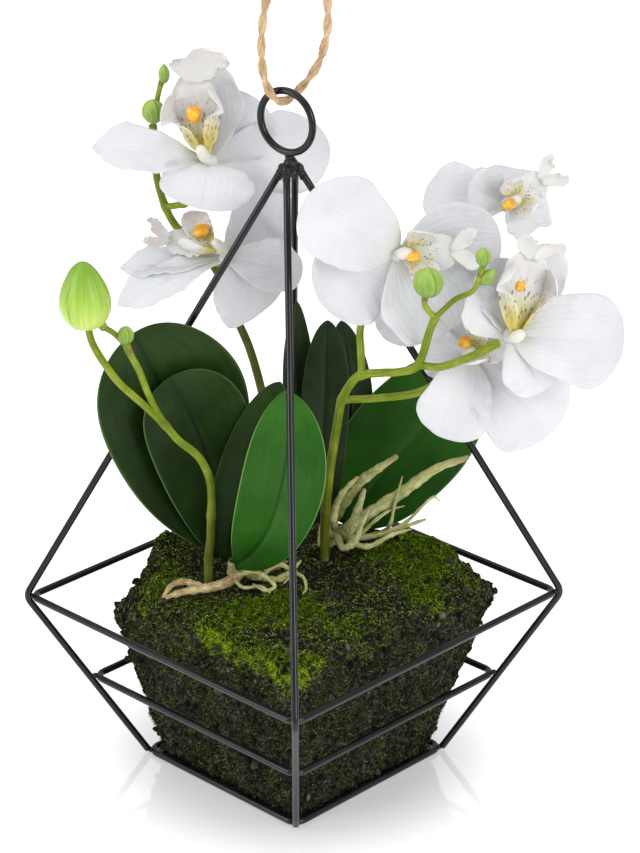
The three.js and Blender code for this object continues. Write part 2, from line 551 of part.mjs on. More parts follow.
// Blooms: the hub, the way the bloom faces, the way its lip hangs, and the tip of each petal from the hub
const BLOOMS = {
  top_left: { hub: [-32.9, -20, 264], out: [-0.3, 0.7, 0.6], lip: [-0.15, -0.35, 0.8], size: 1.3, petals: [
    { tip: [-43.9, 10, 7.5], width: 25, bend: 1, face: [-0.1, 0.5, 0.85] },
    { tip: [49, -9, 3], width: 35, bend: -4, face: [0.1, 0.75, 0.6] },
    { tip: [12, 12, -16], width: 26, bend: 4, face: [0.3, 0.5, 0.8] },
    { tip: [19, -18, 21], width: 34, bend: -5, face: [0.1, 0.9, 0.4] },
    { tip: [-3, -19, 36], width: 30, bend: -6, face: [-0.2, 0.9, 0.4] },
  ] },
  low_left: { hub: [-26.9, -12, 225.2], out: [-0.35, 0.35, 0.87], lip: [-0.6, 0.1, 0.35], size: 1, petals: [
    { tip: [-43.6, -2.1, -4.9], width: 20, bend: 1, face: [-0.1, 0.4, 0.9] },
    { tip: [-44.5, 10, -13.3], width: 25, bend: 3, face: [-0.1, 0.55, 0.8] },
    { tip: [14.5, -1, -26.6], width: 36, bend: 2, face: [0.3, 0.85, 0.4] },
    { tip: [26, -29, 17], width: 30, bend: -3, face: [0.1, 1, 0.1] },
    { tip: [31.2, -4, -9], width: 22, bend: 3, face: [0.1, 0.8, 0.5] },
  ] },
  middle: { hub: [42.1, 28, 241.7], out: [0.3, 0.88, 0.35], lip: [1, -0.2, 0.05], size: 1, petals: [
    { tip: [-36.7, 8, 28], width: 42, bend: 5, face: [0.15, 0.95, 0.1] },
    { tip: [-28, 3, -20], width: 36, bend: -2, face: [0.2, 0.95, 0.2] },
    { tip: [41, -4, 5], width: 34, bend: -2, face: [-0.1, 0.95, 0.3] },
    { tip: [21, 2, -32], width: 40, bend: 4, face: [0, 0.95, 0.3] },
    { tip: [4, -10, -44], width: 26, bend: -2, face: [-0.2, 0.95, 0.1] },
  ] },
  top_right: { hub: [86.8, 8.1, 254.7], out: [0.3, 0.8, 0.5], lip: [0.7, -0.1, 0.5], size: 0.85, petals: [
    { tip: [-33, -10, 1], width: 27, bend: 3, face: [-0.1, 0.7, 0.7] },
    { tip: [4, -18, 9], width: 28, bend: 4, face: [-0.1, 0.8, 0.6] },
    { tip: [17, -16, -4], width: 24, bend: 0, face: [-0.3, 0.8, 0.4] },
    { tip: [9, 2, -12], width: 20, bend: 3, face: [0.2, 0.6, 0.7] },
    { tip: [-16, 4, 10], width: 22, bend: -2, face: [0.1, 0.8, 0.5] },
  ] },
  far_right: { hub: [86, 44.1, 213], out: [0.3, 0.9, 0.3], lip: [0.25, -0.1, 1], size: 1, petals: [
    { tip: [45, 2, -2], width: 38, bend: 4, face: [0.1, 0.9, 0.4] },
    { tip: [-17, 2, 18], width: 20, bend: -2, face: [0.3, 0.8, 0.4] },
    { tip: [18, -16, 32], width: 24, bend: -3, face: [-0.2, 0.5, 0.8] },
    { tip: [-5, -10, 29], width: 24, bend: -3, face: [0.5, 0.7, 0.2] },
    { tip: [14, 4, -22], width: 24, bend: 3, face: [0.1, 0.95, 0.2] },
  ] },
  low_right: { hub: [71.4, 28.1, 198.4], out: [-0.1, 0.85, 0.5], lip: [0.95, 0.1, 0], size: 0.9, petals: [
    { tip: [-7, 10, -33], width: 30, bend: 3, face: [-0.1, 0.95, 0.1] },
    { tip: [34, 6, -31], width: 40, bend: 3, face: [0.1, 0.95, 0.2] },
    { tip: [6, -6, 18], width: 26, bend: -2, face: [0, 0.95, 0.3] },
    { tip: [-20, -1, 0], width: 20, bend: -2, face: [0, 0.95, 0.3] },
    { tip: [28, -6, 3], width: 26, bend: -3, face: [0, 0.9, 0.4] },
  ] },
};

function petals({ hub, petals: list }) {
  const base = at(...hub);
  const sheets = list.map(({ tip, width, bend, face }) => {
    const reach = at(...tip);
    const up = at(...face).normalize();
    const spot = (share) => base.clone().addScaledVector(reach, share)
      .addScaledVector(up, 4 * share * (1 - share) * bend);
    return blade({ midrib: [spot(0), spot(1 / 3), spot(2 / 3), spot(1)], face: up, width,
      belly: 1.45, cup: 0.12, wave: 1, neck: 2.4, rows: 5 });
  });
  return fuse([ball(base, HUB, { rings: 4, sides: 6 }), ...sheets]);
}

// The lip: the column, two side lobes that stand up beside it, the middle lobe with its two tendrils,
// and the callus between them
function lip({ hub, out, lip: hang, size }) {
  const ahead = at(...out).normalize();
  const down = at(...hang);
  down.addScaledVector(ahead, -down.dot(ahead)).normalize();
  const aside = new THREE.Vector3().crossVectors(ahead, down);
  const spot = (x, y, z) => at(...hub).addScaledVector(aside, x * size)
    .addScaledVector(down, y * size).addScaledVector(ahead, HUB + (z - HUB) * size);
  const way = (x, y, z) => spot(x, y, z).sub(at(...hub)).normalize();
  const rod = (list, radius, sides, steps) => {
    const curve = new THREE.CatmullRomCurve3(list.map((p) => spot(...p)), false, 'catmullrom', 0.5);
    return tube(curve.getPoints(steps), radius, sides);
  };
  const column = rod([[0, -0.5, HUB + 0.8], [0, 0, 8], [0, 1.5, 12.5]], (u) => 2.2 + 0.7 * Math.sin(Math.PI * u), 6, 2);
  const middle = blade({ midrib: [spot(0, 0.5, 5.8), spot(0, 7, 6.8), spot(0, 14, 10), spot(0, 21, 12)],
    face: way(0, -0.3, 1), width: 12 * size, belly: 1.3, neck: 3, cup: -0.2, rows: 4, columns: 2 });
  const lobes = [-1, 1].map((side) => blade({
    midrib: [spot(side * 1.5, 2, 6), spot(side * 6, 4.5, 8), spot(side * 9.5, 5, 13), spot(side * 9, 4, 19)],
    face: way(-side, -0.4, 0.4), width: 11 * size, belly: 1.3, neck: 2.5, cup: 0.2, rows: 3, columns: 2 }));
  const tendrils = [-1, 1].map((side) => rod([[side * 0.5, 20, 12], [side * 4, 24, 13], [side * 5, 27, 16.5]], 0.7, 3, 2));
  const callus = ball(spot(0, 4.5, 8.4), 2.3, { rings: 3, sides: 5 });
  return fuse([column, middle, ...lobes, ...tendrils, callus]);
}
Object.entries(BLOOMS).forEach(([name, bloom]) => {
  add(`bloom_${name}`, petals(bloom), 'petal');
  add(`lip_${name}`, lip(bloom), 'lip');
});

export default plant;
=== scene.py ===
# %% [markdown]
# # A moth orchid in a hanging wire basket
# Two orchid plants with three arching flower spikes stand in a tapered block of peat and moss. A four-sided
# cage of black wire holds the block, and hangs by its ring from a loop of jute rope.
#
# The solids of the part are already there as a frame: they say where everything is and how big it is. This
# lesson dresses them. Most of them are rebuilt as finer meshes on the same lines, because leaves, petals and
# moss need far more faces than a solid model wants. The tray keeps its own shape and only gets a finish.

import math
import random

import bpy
import numpy as np
from mathutils import Matrix, Vector, noise


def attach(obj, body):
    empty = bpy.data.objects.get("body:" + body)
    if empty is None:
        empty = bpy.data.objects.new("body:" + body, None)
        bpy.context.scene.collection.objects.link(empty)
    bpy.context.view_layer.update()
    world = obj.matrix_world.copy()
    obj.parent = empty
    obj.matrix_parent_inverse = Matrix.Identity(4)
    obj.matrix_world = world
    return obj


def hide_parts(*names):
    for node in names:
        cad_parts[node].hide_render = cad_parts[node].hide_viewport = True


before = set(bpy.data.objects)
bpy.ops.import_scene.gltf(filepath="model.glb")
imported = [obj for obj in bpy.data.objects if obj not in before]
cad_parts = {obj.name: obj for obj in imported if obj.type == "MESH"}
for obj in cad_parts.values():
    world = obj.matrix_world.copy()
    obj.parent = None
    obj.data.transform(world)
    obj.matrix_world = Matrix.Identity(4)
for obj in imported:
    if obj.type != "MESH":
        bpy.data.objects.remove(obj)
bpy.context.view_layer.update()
print("solids in the frame:", len(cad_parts))

# %% [markdown]
# ## Places in the basket
# The basket's square hoops lie along X and Y, but the photograph looks at a corner. It is easier to think in
# three other measures: across, from the left corner wire to the right one, toward, to the front corner wire,
# and up. One function turns them into X, Y and Z. All sizes are in millimetres until a piece is made.

# %% Places
MM = 0.001
DIAGONAL = math.sqrt(0.5)


def at(across, toward, up):
    return np.array([(across + toward) * DIAGONAL, (across - toward) * DIAGONAL, up], float)


def places(rows):
    return np.array([at(*row) for row in rows])


def unit(vector):
    return vector / np.linalg.norm(vector)


def units(rows):
    return rows / np.linalg.norm(rows, axis=1, keepdims=True)


def lengths(line):
    """The length of each step along a line."""
    return np.linalg.norm(np.diff(line, axis=0), axis=1)


def ripple(place, scale, seed=0.0):
    """Smooth noise at a place, between -1 and 1."""
    return noise.noise(Vector(place * scale) + Vector((seed, seed, seed)))


def spline(points, steps):
    """Points on the smooth line through a few points, the same line as the solids follow."""
    points = np.asarray(points, float)
    padded = np.vstack([2 * points[0] - points[1], points, 2 * points[-1] - points[-2]])
    where = np.linspace(0, len(points) - 1, steps + 1)
    index = np.minimum(where.astype(int), len(points) - 2)
    t = (where - index)[:, None]
    p0, p1, p2, p3 = (padded[index + k] for k in range(4))
    return 0.5 * (2 * p1 + (p2 - p0) * t + (2 * p0 - 5 * p1 + 4 * p2 - p3) * t ** 2
                  + (3 * p1 - p0 - 3 * p2 + p3) * t ** 3)


print("the front corner of the waist is at", at(0, 113, 76.8).round(1))

# %% [markdown]
# ## The camera
# The camera stands at a corner of the basket, well above it, and looks down at it through a long lens. Its
# place and turn were worked out from the wires. Their ends are known, and so is where they meet in the
# photograph.

# %% The camera
CAMERA_PLACE = (837.1, -839.0, 682.7)
CAMERA_TURN = math.radians(44.388)
CAMERA_DIP = math.radians(24.017)
CAMERA_ROLL = math.radians(-0.196)
LENS, SENSOR, NEAREST = 131.8, 36, 0.05


def show(name, data):
    """Puts a camera, a lamp or a mesh in the scene."""
    made = bpy.data.objects.new(name, data)
    bpy.context.scene.collection.objects.link(made)
    return made


camera = show("camera", bpy.data.cameras.new("camera"))
back = Vector((math.sin(CAMERA_TURN) * math.cos(CAMERA_DIP), -math.cos(CAMERA_TURN) * math.cos(CAMERA_DIP),
               math.sin(CAMERA_DIP)))
right = Vector((math.cos(CAMERA_TURN), math.sin(CAMERA_TURN), 0))
turn = Matrix((right, back.cross(right), back)).transposed().to_4x4()
camera.matrix_world = (Matrix.Translation(Vector(CAMERA_PLACE) * MM) @ turn
                       @ Matrix.Rotation(CAMERA_ROLL, 4, "Z"))
camera.data.lens = LENS
camera.data.sensor_width = SENSOR
camera.data.clip_start = NEAREST
bpy.context.scene.camera = camera
print("camera", [round(c, 3) for c in camera.location])

# %% [markdown]
# ## Finishes as Python expressions
# A procedural finish is a small calculation done at each point of a surface. Blender draws it as a net of
# nodes. Here each output socket is wrapped in a class that knows +, -, * and the like, so a finish reads as
# a formula, and one method makes any other node. Only what changes over the surface goes through the net;
# what is the same everywhere is set on the shader itself.

# %% The wrapper for sockets


class Link:
    """An output socket that can be used in a Python expression."""

    def __init__(self, finish, socket):
        self.finish, self.socket = finish, socket

    def calc(self, operation, *values):
        inputs = dict(enumerate(values))
        return self.finish.node("ShaderNodeMath", {"operation": operation}, inputs)

    def __add__(self, other):
        return self.calc("ADD", self, other)

    def __radd__(self, other):
        return self.calc("ADD", other, self)

    def __sub__(self, other):
        return self.calc("SUBTRACT", self, other)

    def __rsub__(self, other):
        return self.calc("SUBTRACT", other, self)

    def __mul__(self, other):
        return self.calc("MULTIPLY", self, other)

    def __rmul__(self, other):
        return self.calc("MULTIPLY", other, self)

    def absolute(self):
        return self.calc("ABSOLUTE", self)

    def sine(self):
        return self.calc("SINE", self)

    def fade(self, low, high):
        """0 below low, 1 above high, and a smooth step between."""
        inputs = {"Value": self, "From Min": low, "From Max": high}
        return self.finish.node("ShaderNodeMapRange", {"interpolation_type": "SMOOTHSTEP"}, inputs)


class Finish:
    """A material and its node net."""

    def __init__(self, name, **uniform):
        self.material = bpy.data.materials.new(name)
        self.material.use_nodes = True
        self.net = self.material.node_tree
        self.shader = self.net.nodes["Principled BSDF"]
        for socket, value in uniform.items():
            self.shader.inputs[socket.replace("_", " ")].default_value = value

    def node(self, kind, settings=(), inputs=(), out=0):
        made = self.net.nodes.new(kind)
        for name, value in dict(settings).items():
            if name == "stops":
                made.color_ramp.elements.remove(made.color_ramp.elements[0])
                for k, (position, colour) in enumerate(value):
                    stops = made.color_ramp.elements
                    stop = stops[0] if k == 0 else stops.new(position)
                    stop.position, stop.color = position, (*colour, 1)
            else:
                setattr(made, name, value)
        for name, value in dict(inputs).items():
            self.feed(made.inputs[name], value)
        return Link(self, made.outputs[out])

    def feed(self, socket, value):
        if isinstance(value, Link):
            self.net.links.new(value.socket, socket)
        elif isinstance(value, tuple) and len(value) == 3 and len(socket.default_value) == 4:
            socket.default_value = (*value, 1)
        else:
            socket.default_value = value

    def set(self, **inputs):
        for name, value in inputs.items():
            self.feed(self.shader.inputs[name.replace("_", " ")], value)

    def place(self):
        return self.node("ShaderNodeTexCoord", out="Object")

    def mark(self, part):
        """One of the three numbers that a mesh keeps for each of its points: along, across or kind."""
        whole = self.node("ShaderNodeAttribute", {"attribute_name": "mark"}, out="Vector")
        return self.node("ShaderNodeSeparateXYZ", inputs={"Vector": whole}, out=part)

    def stretched(self, along, across, kind=0.0):
        """A place made of the marks, scaled, for patterns that run with the piece."""
        inputs = {"X": self.mark(0) * along, "Y": self.mark(1) * across, "Z": self.mark(2) * kind}
        return self.node("ShaderNodeCombineXYZ", inputs=inputs)

    def cloud(self, place, scale, detail=3.0, rough=0.6):
        inputs = {"Vector": place, "Scale": scale, "Detail": detail, "Roughness": rough}
        return self.node("ShaderNodeTexNoise", inputs=inputs)

    def mottle(self, scale, detail=3.0, rough=0.6):
        return self.cloud(self.place(), scale, detail, rough)

    def cells(self, place, scale):
        return self.node("ShaderNodeTexVoronoi", inputs={"Vector": place, "Scale": scale}, out="Distance")

    def ramp(self, value, *stops):
        return self.node("ShaderNodeValToRGB", {"stops": stops}, {"Fac": value}, out="Color")

    def blend(self, share, first, second):
        return self.node("ShaderNodeMix", {"data_type": "RGBA"}, {0: share, 6: first, 7: second}, out=2)

    def bump(self, height, distance, strength=1.0):
        inputs = {"Height": height, "Distance": distance, "Strength": strength}
        self.set(Normal=self.node("ShaderNodeBump", inputs=inputs))


print("wrapper ready")

# %% [markdown]
# ## Shapes
# Every piece is gathered from parts: rods swept along a line, blades grown from a midrib, balls and crumbs.
# Each point also keeps three marks, which the finishes read: how far along the part it is, how far across,
# and one more number that says what kind of place it is.

# %% Gathering a piece


class Shape:
    """Points, faces, marks and finish numbers, gathered part by part."""

    def __init__(self):
        self.points, self.marks, self.faces, self.finishes, self.count = [], [], [], [], 0

    def add(self, part, finish=0):
        points, marks, faces = part
        self.points.append(np.asarray(points, float).reshape(-1, 3))
        self.marks.append(np.asarray(marks, float).reshape(-1, 3))
        self.faces += [[corner + self.count for corner in face] for face in faces]
        self.finishes += [finish] * len(faces)
        self.count += len(self.points[-1])
        return self

    def piece(self, name, finishes, slot, *nodes):
        mesh = bpy.data.meshes.new(name)
        mesh.from_pydata((np.vstack(self.points) * MM).tolist(), [], self.faces)
        mesh.polygons.foreach_set("material_index", self.finishes)
        mesh.polygons.foreach_set("use_smooth", [True] * len(mesh.polygons))
        layer = mesh.attributes.new("mark", "FLOAT_VECTOR", "POINT")
        layer.data.foreach_set("vector", np.vstack(self.marks).astype(np.float32).ravel())
        for finish in finishes:
            mesh.materials.append(finish.material)
        mesh.update()
        made = show(name, mesh)
        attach(made, "root")
        if nodes:
            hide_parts(*nodes)
        return made


def mesh_grid(rows, columns, closed_rows=False, closed_columns=False):
    """The quads between rows and columns of points."""
    faces = []
    for i in range(rows if closed_rows else rows - 1):
        for j in range(columns if closed_columns else columns - 1):
            a, b = i * columns + j, i * columns + (j + 1) % columns
            c, d = ((i + 1) % rows) * columns + (j + 1) % columns, ((i + 1) % rows) * columns + j
            faces.append([a, b, c, d])
    return faces


def tube_faces(rows, sides, closed=False):
    """The quads round a tube, and a face over each end unless the tube closes on itself."""
    faces = mesh_grid(rows, sides, closed, True)
    if not closed:
        last = (rows - 1) * sides
        faces += [list(range(sides))[::-1], [last + k for k in range(sides)]]
    return faces


def rod(points, radius, sides=12, closed=False, kind=0.0):
    """A round rod along stations. Its radius and kind are numbers or one value for each station."""
    points = np.asarray(points, float)
    count = len(points)
    if closed:
        along = units(np.roll(points, -1, axis=0) - np.roll(points, 1, axis=0))
    else:
        along = units(np.gradient(points, axis=0))
    radius, kind = np.broadcast_to(radius, count), np.broadcast_to(kind, count)
    side = np.array([1.0, 0, 0]) if abs(along[0][2]) > 0.9 else np.array([0, 0, 1.0])
    angles = 2 * np.pi * (np.arange(sides) + 0.5) / sides
    rings, marks = [], []
    for i in range(count):
        side = unit(side - along[i] * side.dot(along[i]))
        other = np.cross(along[i], side)
        circle = np.outer(np.cos(angles), side) + np.outer(np.sin(angles), other)
        rings.append(points[i] + radius[i] * circle)
        marks.append([[i / (count - 1), k / sides, kind[i]] for k in range(sides)])
    return outward(np.vstack(rings), np.vstack(marks), tube_faces(count, sides, closed))


def outward(points, marks, faces):
    """Turns all faces round if they look inward, told by the volume they close off."""
    volume = 0.0
    for face in faces:
        a = points[face[0]]
        for k in range(1, len(face) - 1):
            volume += a.dot(np.cross(points[face[k]], points[face[k + 1]]))
    return points, marks, faces if volume > 0 else [face[::-1] for face in faces]


def round_ends(points, radius, share=1.0):
    """Extra stations that close a rod with a round cap at both ends."""
    points, radius = np.asarray(points, float), np.broadcast_to(radius, len(points)).astype(float)
    caps = []
    for end, inner in ((0, 1), (-1, -2)):
        way = unit(points[end] - points[inner])
        turns = np.radians([30, 60, 85])
        stations = [points[end] + way * radius[end] * share * math.sin(a) for a in turns]
        caps.append((stations, [radius[end] * math.cos(a) for a in turns]))
    (head, head_radius), (tail, tail_radius) = caps
    return np.vstack([head[::-1], points, tail]), np.concatenate([head_radius[::-1], radius, tail_radius])


def ball(centre, radius, along=(0, 0, 1), stretch=1.0, point=0.0, rings=10, sides=14, groove=0.0, kind=0.0):
    """A ball stretched along a direction, with a pointed end and lengthwise grooves if it has them."""
    way = unit(np.asarray(along, float))
    side = unit(np.cross(way, [0.3, 1, 0.2]))
    other = np.cross(way, side)
    points, marks = [], []
    for i in range(rings + 1):
        angle = math.pi * i / rings
        narrow = 1 - 0.6 * point * max(0.0, -math.cos(angle)) ** 2
        wide = radius * max(math.sin(angle), 0.02) * narrow
        for k in range(sides):
            around = 2 * math.pi * k / sides
            ridge = 1 + groove * math.cos(6 * around)
            out = (math.cos(around) * side + math.sin(around) * other) * wide * ridge
            points.append(centre + out - way * radius * stretch * math.cos(angle))
            marks.append([i / rings, k / sides, kind])
    return outward(np.array(points), np.array(marks), tube_faces(rings + 1, sides))


print("shape helpers ready")

# %% [markdown]
# ## The rope
# Jute is spun into yarns, and two yarns are laid round each other into the rope. A plain round tube would
# never show that, so both yarns are real. Each winds round the rope's line, half a turn apart, and a few
# loose fibres stand off them. The rope is one length from the knot, down through the ring and back up to the
# knot, and it bears the basket's weight.

# %% The rope's finish
jute = Finish("jute", Roughness=0.95, Sheen_Weight=0.3)
fibre = jute.cloud(jute.stretched(16.0, 12.0), 3.0, 5.0)
shade = jute.mottle(160.0, 3.0)
jute.set(Base_Color=jute.ramp(fibre * 0.6 + shade * 0.4, (0.34, (0.24, 0.125, 0.045)),
                              (0.5, (0.60, 0.39, 0.19)), (0.64, (0.86, 0.66, 0.42))))
jute.bump(fibre, 0.0006, 0.8)

# %% The rope and its knot
ROPE, TURN_LENGTH, STATION_GAP = 3.5, 19.0, 0.7
YARNS, YARN_SHARE = 2, 0.29
LOOSE_FIBRES = 90
ROPE_ROUTE = [
    [0.5, 1, 381.4], [-1.5, 1, 374], [-4, 1, 364], [-6.5, 1, 352], [-9, 1, 339], [-10.8, 1, 328],
    [-11.3, 1, 317], [-10.5, 1, 307], [-8.2, 0.8, 300.2], [-5.6, 0.2, 296.8], [-2.6, -0.6, 295.9],
    [0.2, -1.8, 296.7], [2.8, -2.6, 299.2], [6.6, -3, 303.6], [10, -3, 308.4], [12.4, -2.6, 314],
    [14, -1.8, 320.4], [14.9, -0.8, 328], [14.6, 0, 339], [12.6, 0, 352], [9.6, 0, 364], [6.6, 0, 374],
    [4.6, 0, 381.4]]
KNOT, KNOT_TURNS = at(2.5, 0.5, 386.5), 2.6


def yarns(shape, line, thickness):
    """Yarns that wind round a line. It gives back the line's stations and two directions across each."""
    line = spline(line, max(6, int(lengths(line).sum() / STATION_GAP)))
    travelled = np.concatenate([[0], np.cumsum(lengths(line))])
    along = units(np.gradient(line, axis=0))
    side = unit(np.cross(along[0], [0.2, 1, 0.1]))
    sides = []
    for way in along:
        side = unit(side - way * side.dot(way))
        sides.append(side)
    sides = np.array(sides)
    others = np.cross(along, sides)
    yarn = thickness * YARN_SHARE
    for k in range(YARNS):
        phase = 2 * np.pi * (travelled / TURN_LENGTH + k / YARNS)
        offset = yarn * 0.80 * (np.cos(phase)[:, None] * sides + np.sin(phase)[:, None] * others)
        shape.add(rod(line + offset, yarn * (1 + 0.05 * np.sin(travelled * 1.7 + k)), 9, kind=k))
    return line, sides, others


rope = Shape()
rope_line, rope_sides, rope_others = yarns(rope, places(ROPE_ROUTE), ROPE)
luck = random.Random(5)
for _ in range(LOOSE_FIBRES):
    i = luck.randrange(3, len(rope_line) - 12)
    angle = luck.uniform(0, 2 * math.pi)
    out = math.cos(angle) * rope_sides[i] + math.sin(angle) * rope_others[i]
    start = rope_line[i] + out * 1.4
    end = rope_line[i + 5] + out * luck.uniform(1.9, 2.8)
    rope.add(rod([start, (start + end) / 2 + out * 0.3, end], [0.07, 0.06, 0.03], 3))
rope_loop = rope.piece("jute_rope", [jute], "rope", "rope_loop")
rope_length = lengths(rope_line).sum() * MM

knot = Shape()
turns = np.linspace(0, 2 * np.pi * KNOT_TURNS, 60)
coil = [KNOT + np.array([3.1 * math.cos(a) * (1 + 0.1 * math.sin(2.1 * a)), 3.1 * math.sin(a),
                         -3.2 + 6.4 * a / turns[-1] + 0.8 * math.sin(a + 1)]) for a in turns]
yarns(knot, np.array(coil), ROPE * 0.96)
core = [KNOT + np.array([0.6, -0.4, -4.4]), KNOT, KNOT + np.array([-0.6, 0.5, 4.2])]
yarns(knot, np.array(core), ROPE * 1.1)
for tail in ([[3, 0, 388], [5.5, 1.5, 395], [9.5, 2.5, 400.5]],
             [[2, 1, 388], [0.5, 2.5, 396], [-3, 3.5, 401.5]]):
    yarns(knot, places(tail), ROPE)
rope_knot = knot.piece("rope_knot_tied", [jute], "rope", "rope_knot")
tuple(at(2.5, 0.5, 381.4) * MM)
[tuple(p * MM) for p in spline(places(ROPE_ROUTE), 80)]
print("rope length", round(rope_length, 4), "m")

# %% [markdown]
# ## The wire cage
# The cage is drawn steel wire, bent cold, welded where wires meet and coated in satin black. Round rods swept
# along the bent lines give the long soft highlight that runs down each wire. The coating is thicker in
# places, so its gloss changes a little along the wire.

# %% The coating
coating = Finish("black_coating", Specular_IOR_Level=0.32)
grain = coating.mottle(220.0, 4.0)
patches = coating.mottle(40.0, 2.0)
coating.set(Base_Color=coating.ramp(patches, (0.35, (0.004, 0.004, 0.005)), (0.65, (0.010, 0.010, 0.011))),
            Roughness=0.14 + 0.14 * patches)
coating.bump(grain, 0.0001, 0.25)

# %% Wires, hoops and ring
WIRE, WIRE_SIDES = 3, 16
GAP = 0.3
WAIST_REACH, WAIST_UP = 113, 76.8
FOOT_REACH, FOOT_UP = 64, 1.7
CROWN_REACH, CROWN_UP, CROWN_SIDESTEP = 4.2, 266.5, 1.7
BEND, HOOP_BEND = 6, 5
LOWER_UP = 38.1
BASE_UP = 1.386
RING, RING_UP, RING_ASIDE, RING_TURN = 12.75, 287.6, 1.6, math.radians(9)
CORNERS = {"front": (0, 1, -CROWN_SIDESTEP), "back": (0, -1, CROWN_SIDESTEP),
           "left": (-1, 0, 0), "right": (1, 0, 0)}


def corner_wire(across, toward, aside):
    top = at(across * CROWN_REACH + aside, toward * CROWN_REACH, CROWN_UP)
    foot = at(across * FOOT_REACH, toward * FOOT_REACH, FOOT_UP)
    sharp = at(across * (WAIST_REACH + 1), toward * (WAIST_REACH + 1), WAIST_UP)
    to_top, to_foot = unit(top - sharp), unit(foot - sharp)
    setback = BEND / math.tan(math.acos(to_top.dot(to_foot)) / 2)
    t = np.linspace(0, 1, 12)[:, None]
    start, end = sharp + to_top * setback, sharp + to_foot * setback
    bend = (1 - t) ** 2 * start + 2 * t * (1 - t) * sharp + t ** 2 * end
    upper = top + (start - top) * np.linspace(0, 1, 30)[:-1, None]
    lower = end + (foot - end) * np.linspace(0, 1, 14)[1:, None]
    return rod(*round_ends(np.vstack([upper, bend, lower]), WIRE / 2, 0.4), WIRE_SIDES)


def wire_reach(up):
    return FOOT_REACH + (WAIST_REACH - FOOT_REACH) * (up - FOOT_UP) / (WAIST_UP - FOOT_UP)


def hoop(up, reach):
    half = (reach - HOOP_BEND) * DIAGONAL + HOOP_BEND
    line = []
    for corner in range(4):
        for angle in np.radians(90 * corner + np.linspace(0, 90, 10)):
            middle = np.radians(90 * corner + 45)
            centre = (half - HOOP_BEND) / DIAGONAL * np.array([math.cos(middle), math.sin(middle)])
            line.append([*(centre + HOOP_BEND * np.array([math.cos(angle), math.sin(angle)])), up])
        straight = 2 * (half - HOOP_BEND)
        end, way = np.array(line[-1]), np.array([-math.sin(angle), math.cos(angle), 0])
        line += [end + way * straight * k / 16 for k in range(1, 16)]
    return rod(line, WIRE / 2, WIRE_SIDES, closed=True)


for name, corner in CORNERS.items():
    Shape().add(corner_wire(*corner)).piece(f"bent_wire_{name}", [coating], "wire", f"corner_wire_{name}")
lean = math.hypot(WAIST_REACH - FOOT_REACH, WAIST_UP - FOOT_UP) / (WAIST_UP - FOOT_UP)
HOOPS = {"waist_hoop": (WAIST_UP, WAIST_REACH - WIRE - GAP),
         "lower_hoop": (LOWER_UP, wire_reach(LOWER_UP) - (WIRE + GAP) * lean),
         "base_hoop": (BASE_UP, FOOT_REACH - WIRE + 0.2)}
for name, (up, reach) in HOOPS.items():
    Shape().add(hoop(up, reach)).piece(f"{name}_wire", [coating], "wire", name)
ring_side = np.array([math.cos(RING_TURN), math.sin(RING_TURN), 0])
ring_line = [at(-RING_ASIDE, 0, RING_UP) + RING * (math.cos(a) * ring_side + [0, 0, math.sin(a)])
             for a in np.linspace(0, 2 * np.pi, 73)[:-1]]
ring = rod(ring_line, WIRE / 2, WIRE_SIDES, closed=True)
Shape().add(ring).piece("ring_wire", [coating], "wire", "hanging_ring")
print("wires made:", len(CORNERS) + len(HOOPS) + 1)

# %% [markdown]
# ## The weld under the ring
# Under the ring the four wire ends and the ring meet in one lump of weld, dipped in the same black. On the
# real basket it is a knobbly little knuckle with a bead round each wire's end. A lump and its beads, pushed
# about by noise, look like metal that has flowed. Small beads of weld also sit where each hoop meets a
# corner wire.

# %% The weld beads
weld = Finish("black_weld", Specular_IOR_Level=0.35, Roughness=0.34)
beads = weld.mottle(420.0, 3.0)
weld.set(Base_Color=weld.ramp(beads, (0.3, (0.004, 0.004, 0.005)), (0.7, (0.014, 0.014, 0.015))))
weld.bump(beads, 0.0005, 0.6)


def knobbly(part, amount, scale, seed=0.0):
    """A part whose points are pushed in or out from its middle."""
    points, marks, faces = part
    outs = points - points.mean(axis=0) + 1e-6
    moved = [p + unit(out) * amount * ripple(p, scale, seed) for p, out in zip(points, outs)]
    return np.array(moved), marks, faces


joint = Shape()
joint.add(knobbly(ball(at(0, 0, 269.2), 3.1, stretch=1.3, rings=16, sides=22), 0.5, 0.7))
for across, toward, aside in CORNERS.values():
    joint.add(knobbly(ball(at(across * 3.2 + aside, toward * 3.2, 268.3), 1.9, rings=12, sides=16), 0.5, 0.9))
    way = unit(at(across * WAIST_REACH, toward * WAIST_REACH, WAIST_UP)
               - at(across * CROWN_REACH, toward * CROWN_REACH, CROWN_UP))
    for k in range(3):
        centre = at(across * 3.6 + aside, toward * 3.6, CROWN_UP + 0.6) + way * (1.5 * k)
        joint.add(knobbly(ball(centre, 1.95 - 0.12 * k, way, 0.8, rings=10, sides=14), 0.55, 1.1, k + across))
joint.add(knobbly(ball(at(-0.6, 0, 272.6), 1.9, stretch=0.8, rings=10, sides=14), 0.4, 0.9, 3.0))
joint.piece("weld_lump", [weld], "wire", "crown_joint")

fillets = Shape()
for across, toward, _ in CORNERS.values():
    for up, reach in HOOPS.values():
        inner, outer = (at(across * r, toward * r, up) for r in (reach, wire_reach(up)))
        fillet = ball((inner + outer) / 2, 1.25, along=inner - outer, stretch=1.2, rings=8, sides=10)
        fillets.add(knobbly(fillet, 0.3, 0.8, up))
fillets.piece("weld_fillets", [weld], "wire")
print("weld lump and", 4 * len(HOOPS), "fillets")

# %% [markdown]
# ## The tray
# The block stands on a thin sheet inside the lowest hoop. Its own solid has the right shape, so it stays and
# only gets its gloss coating, which a little dust has dulled.

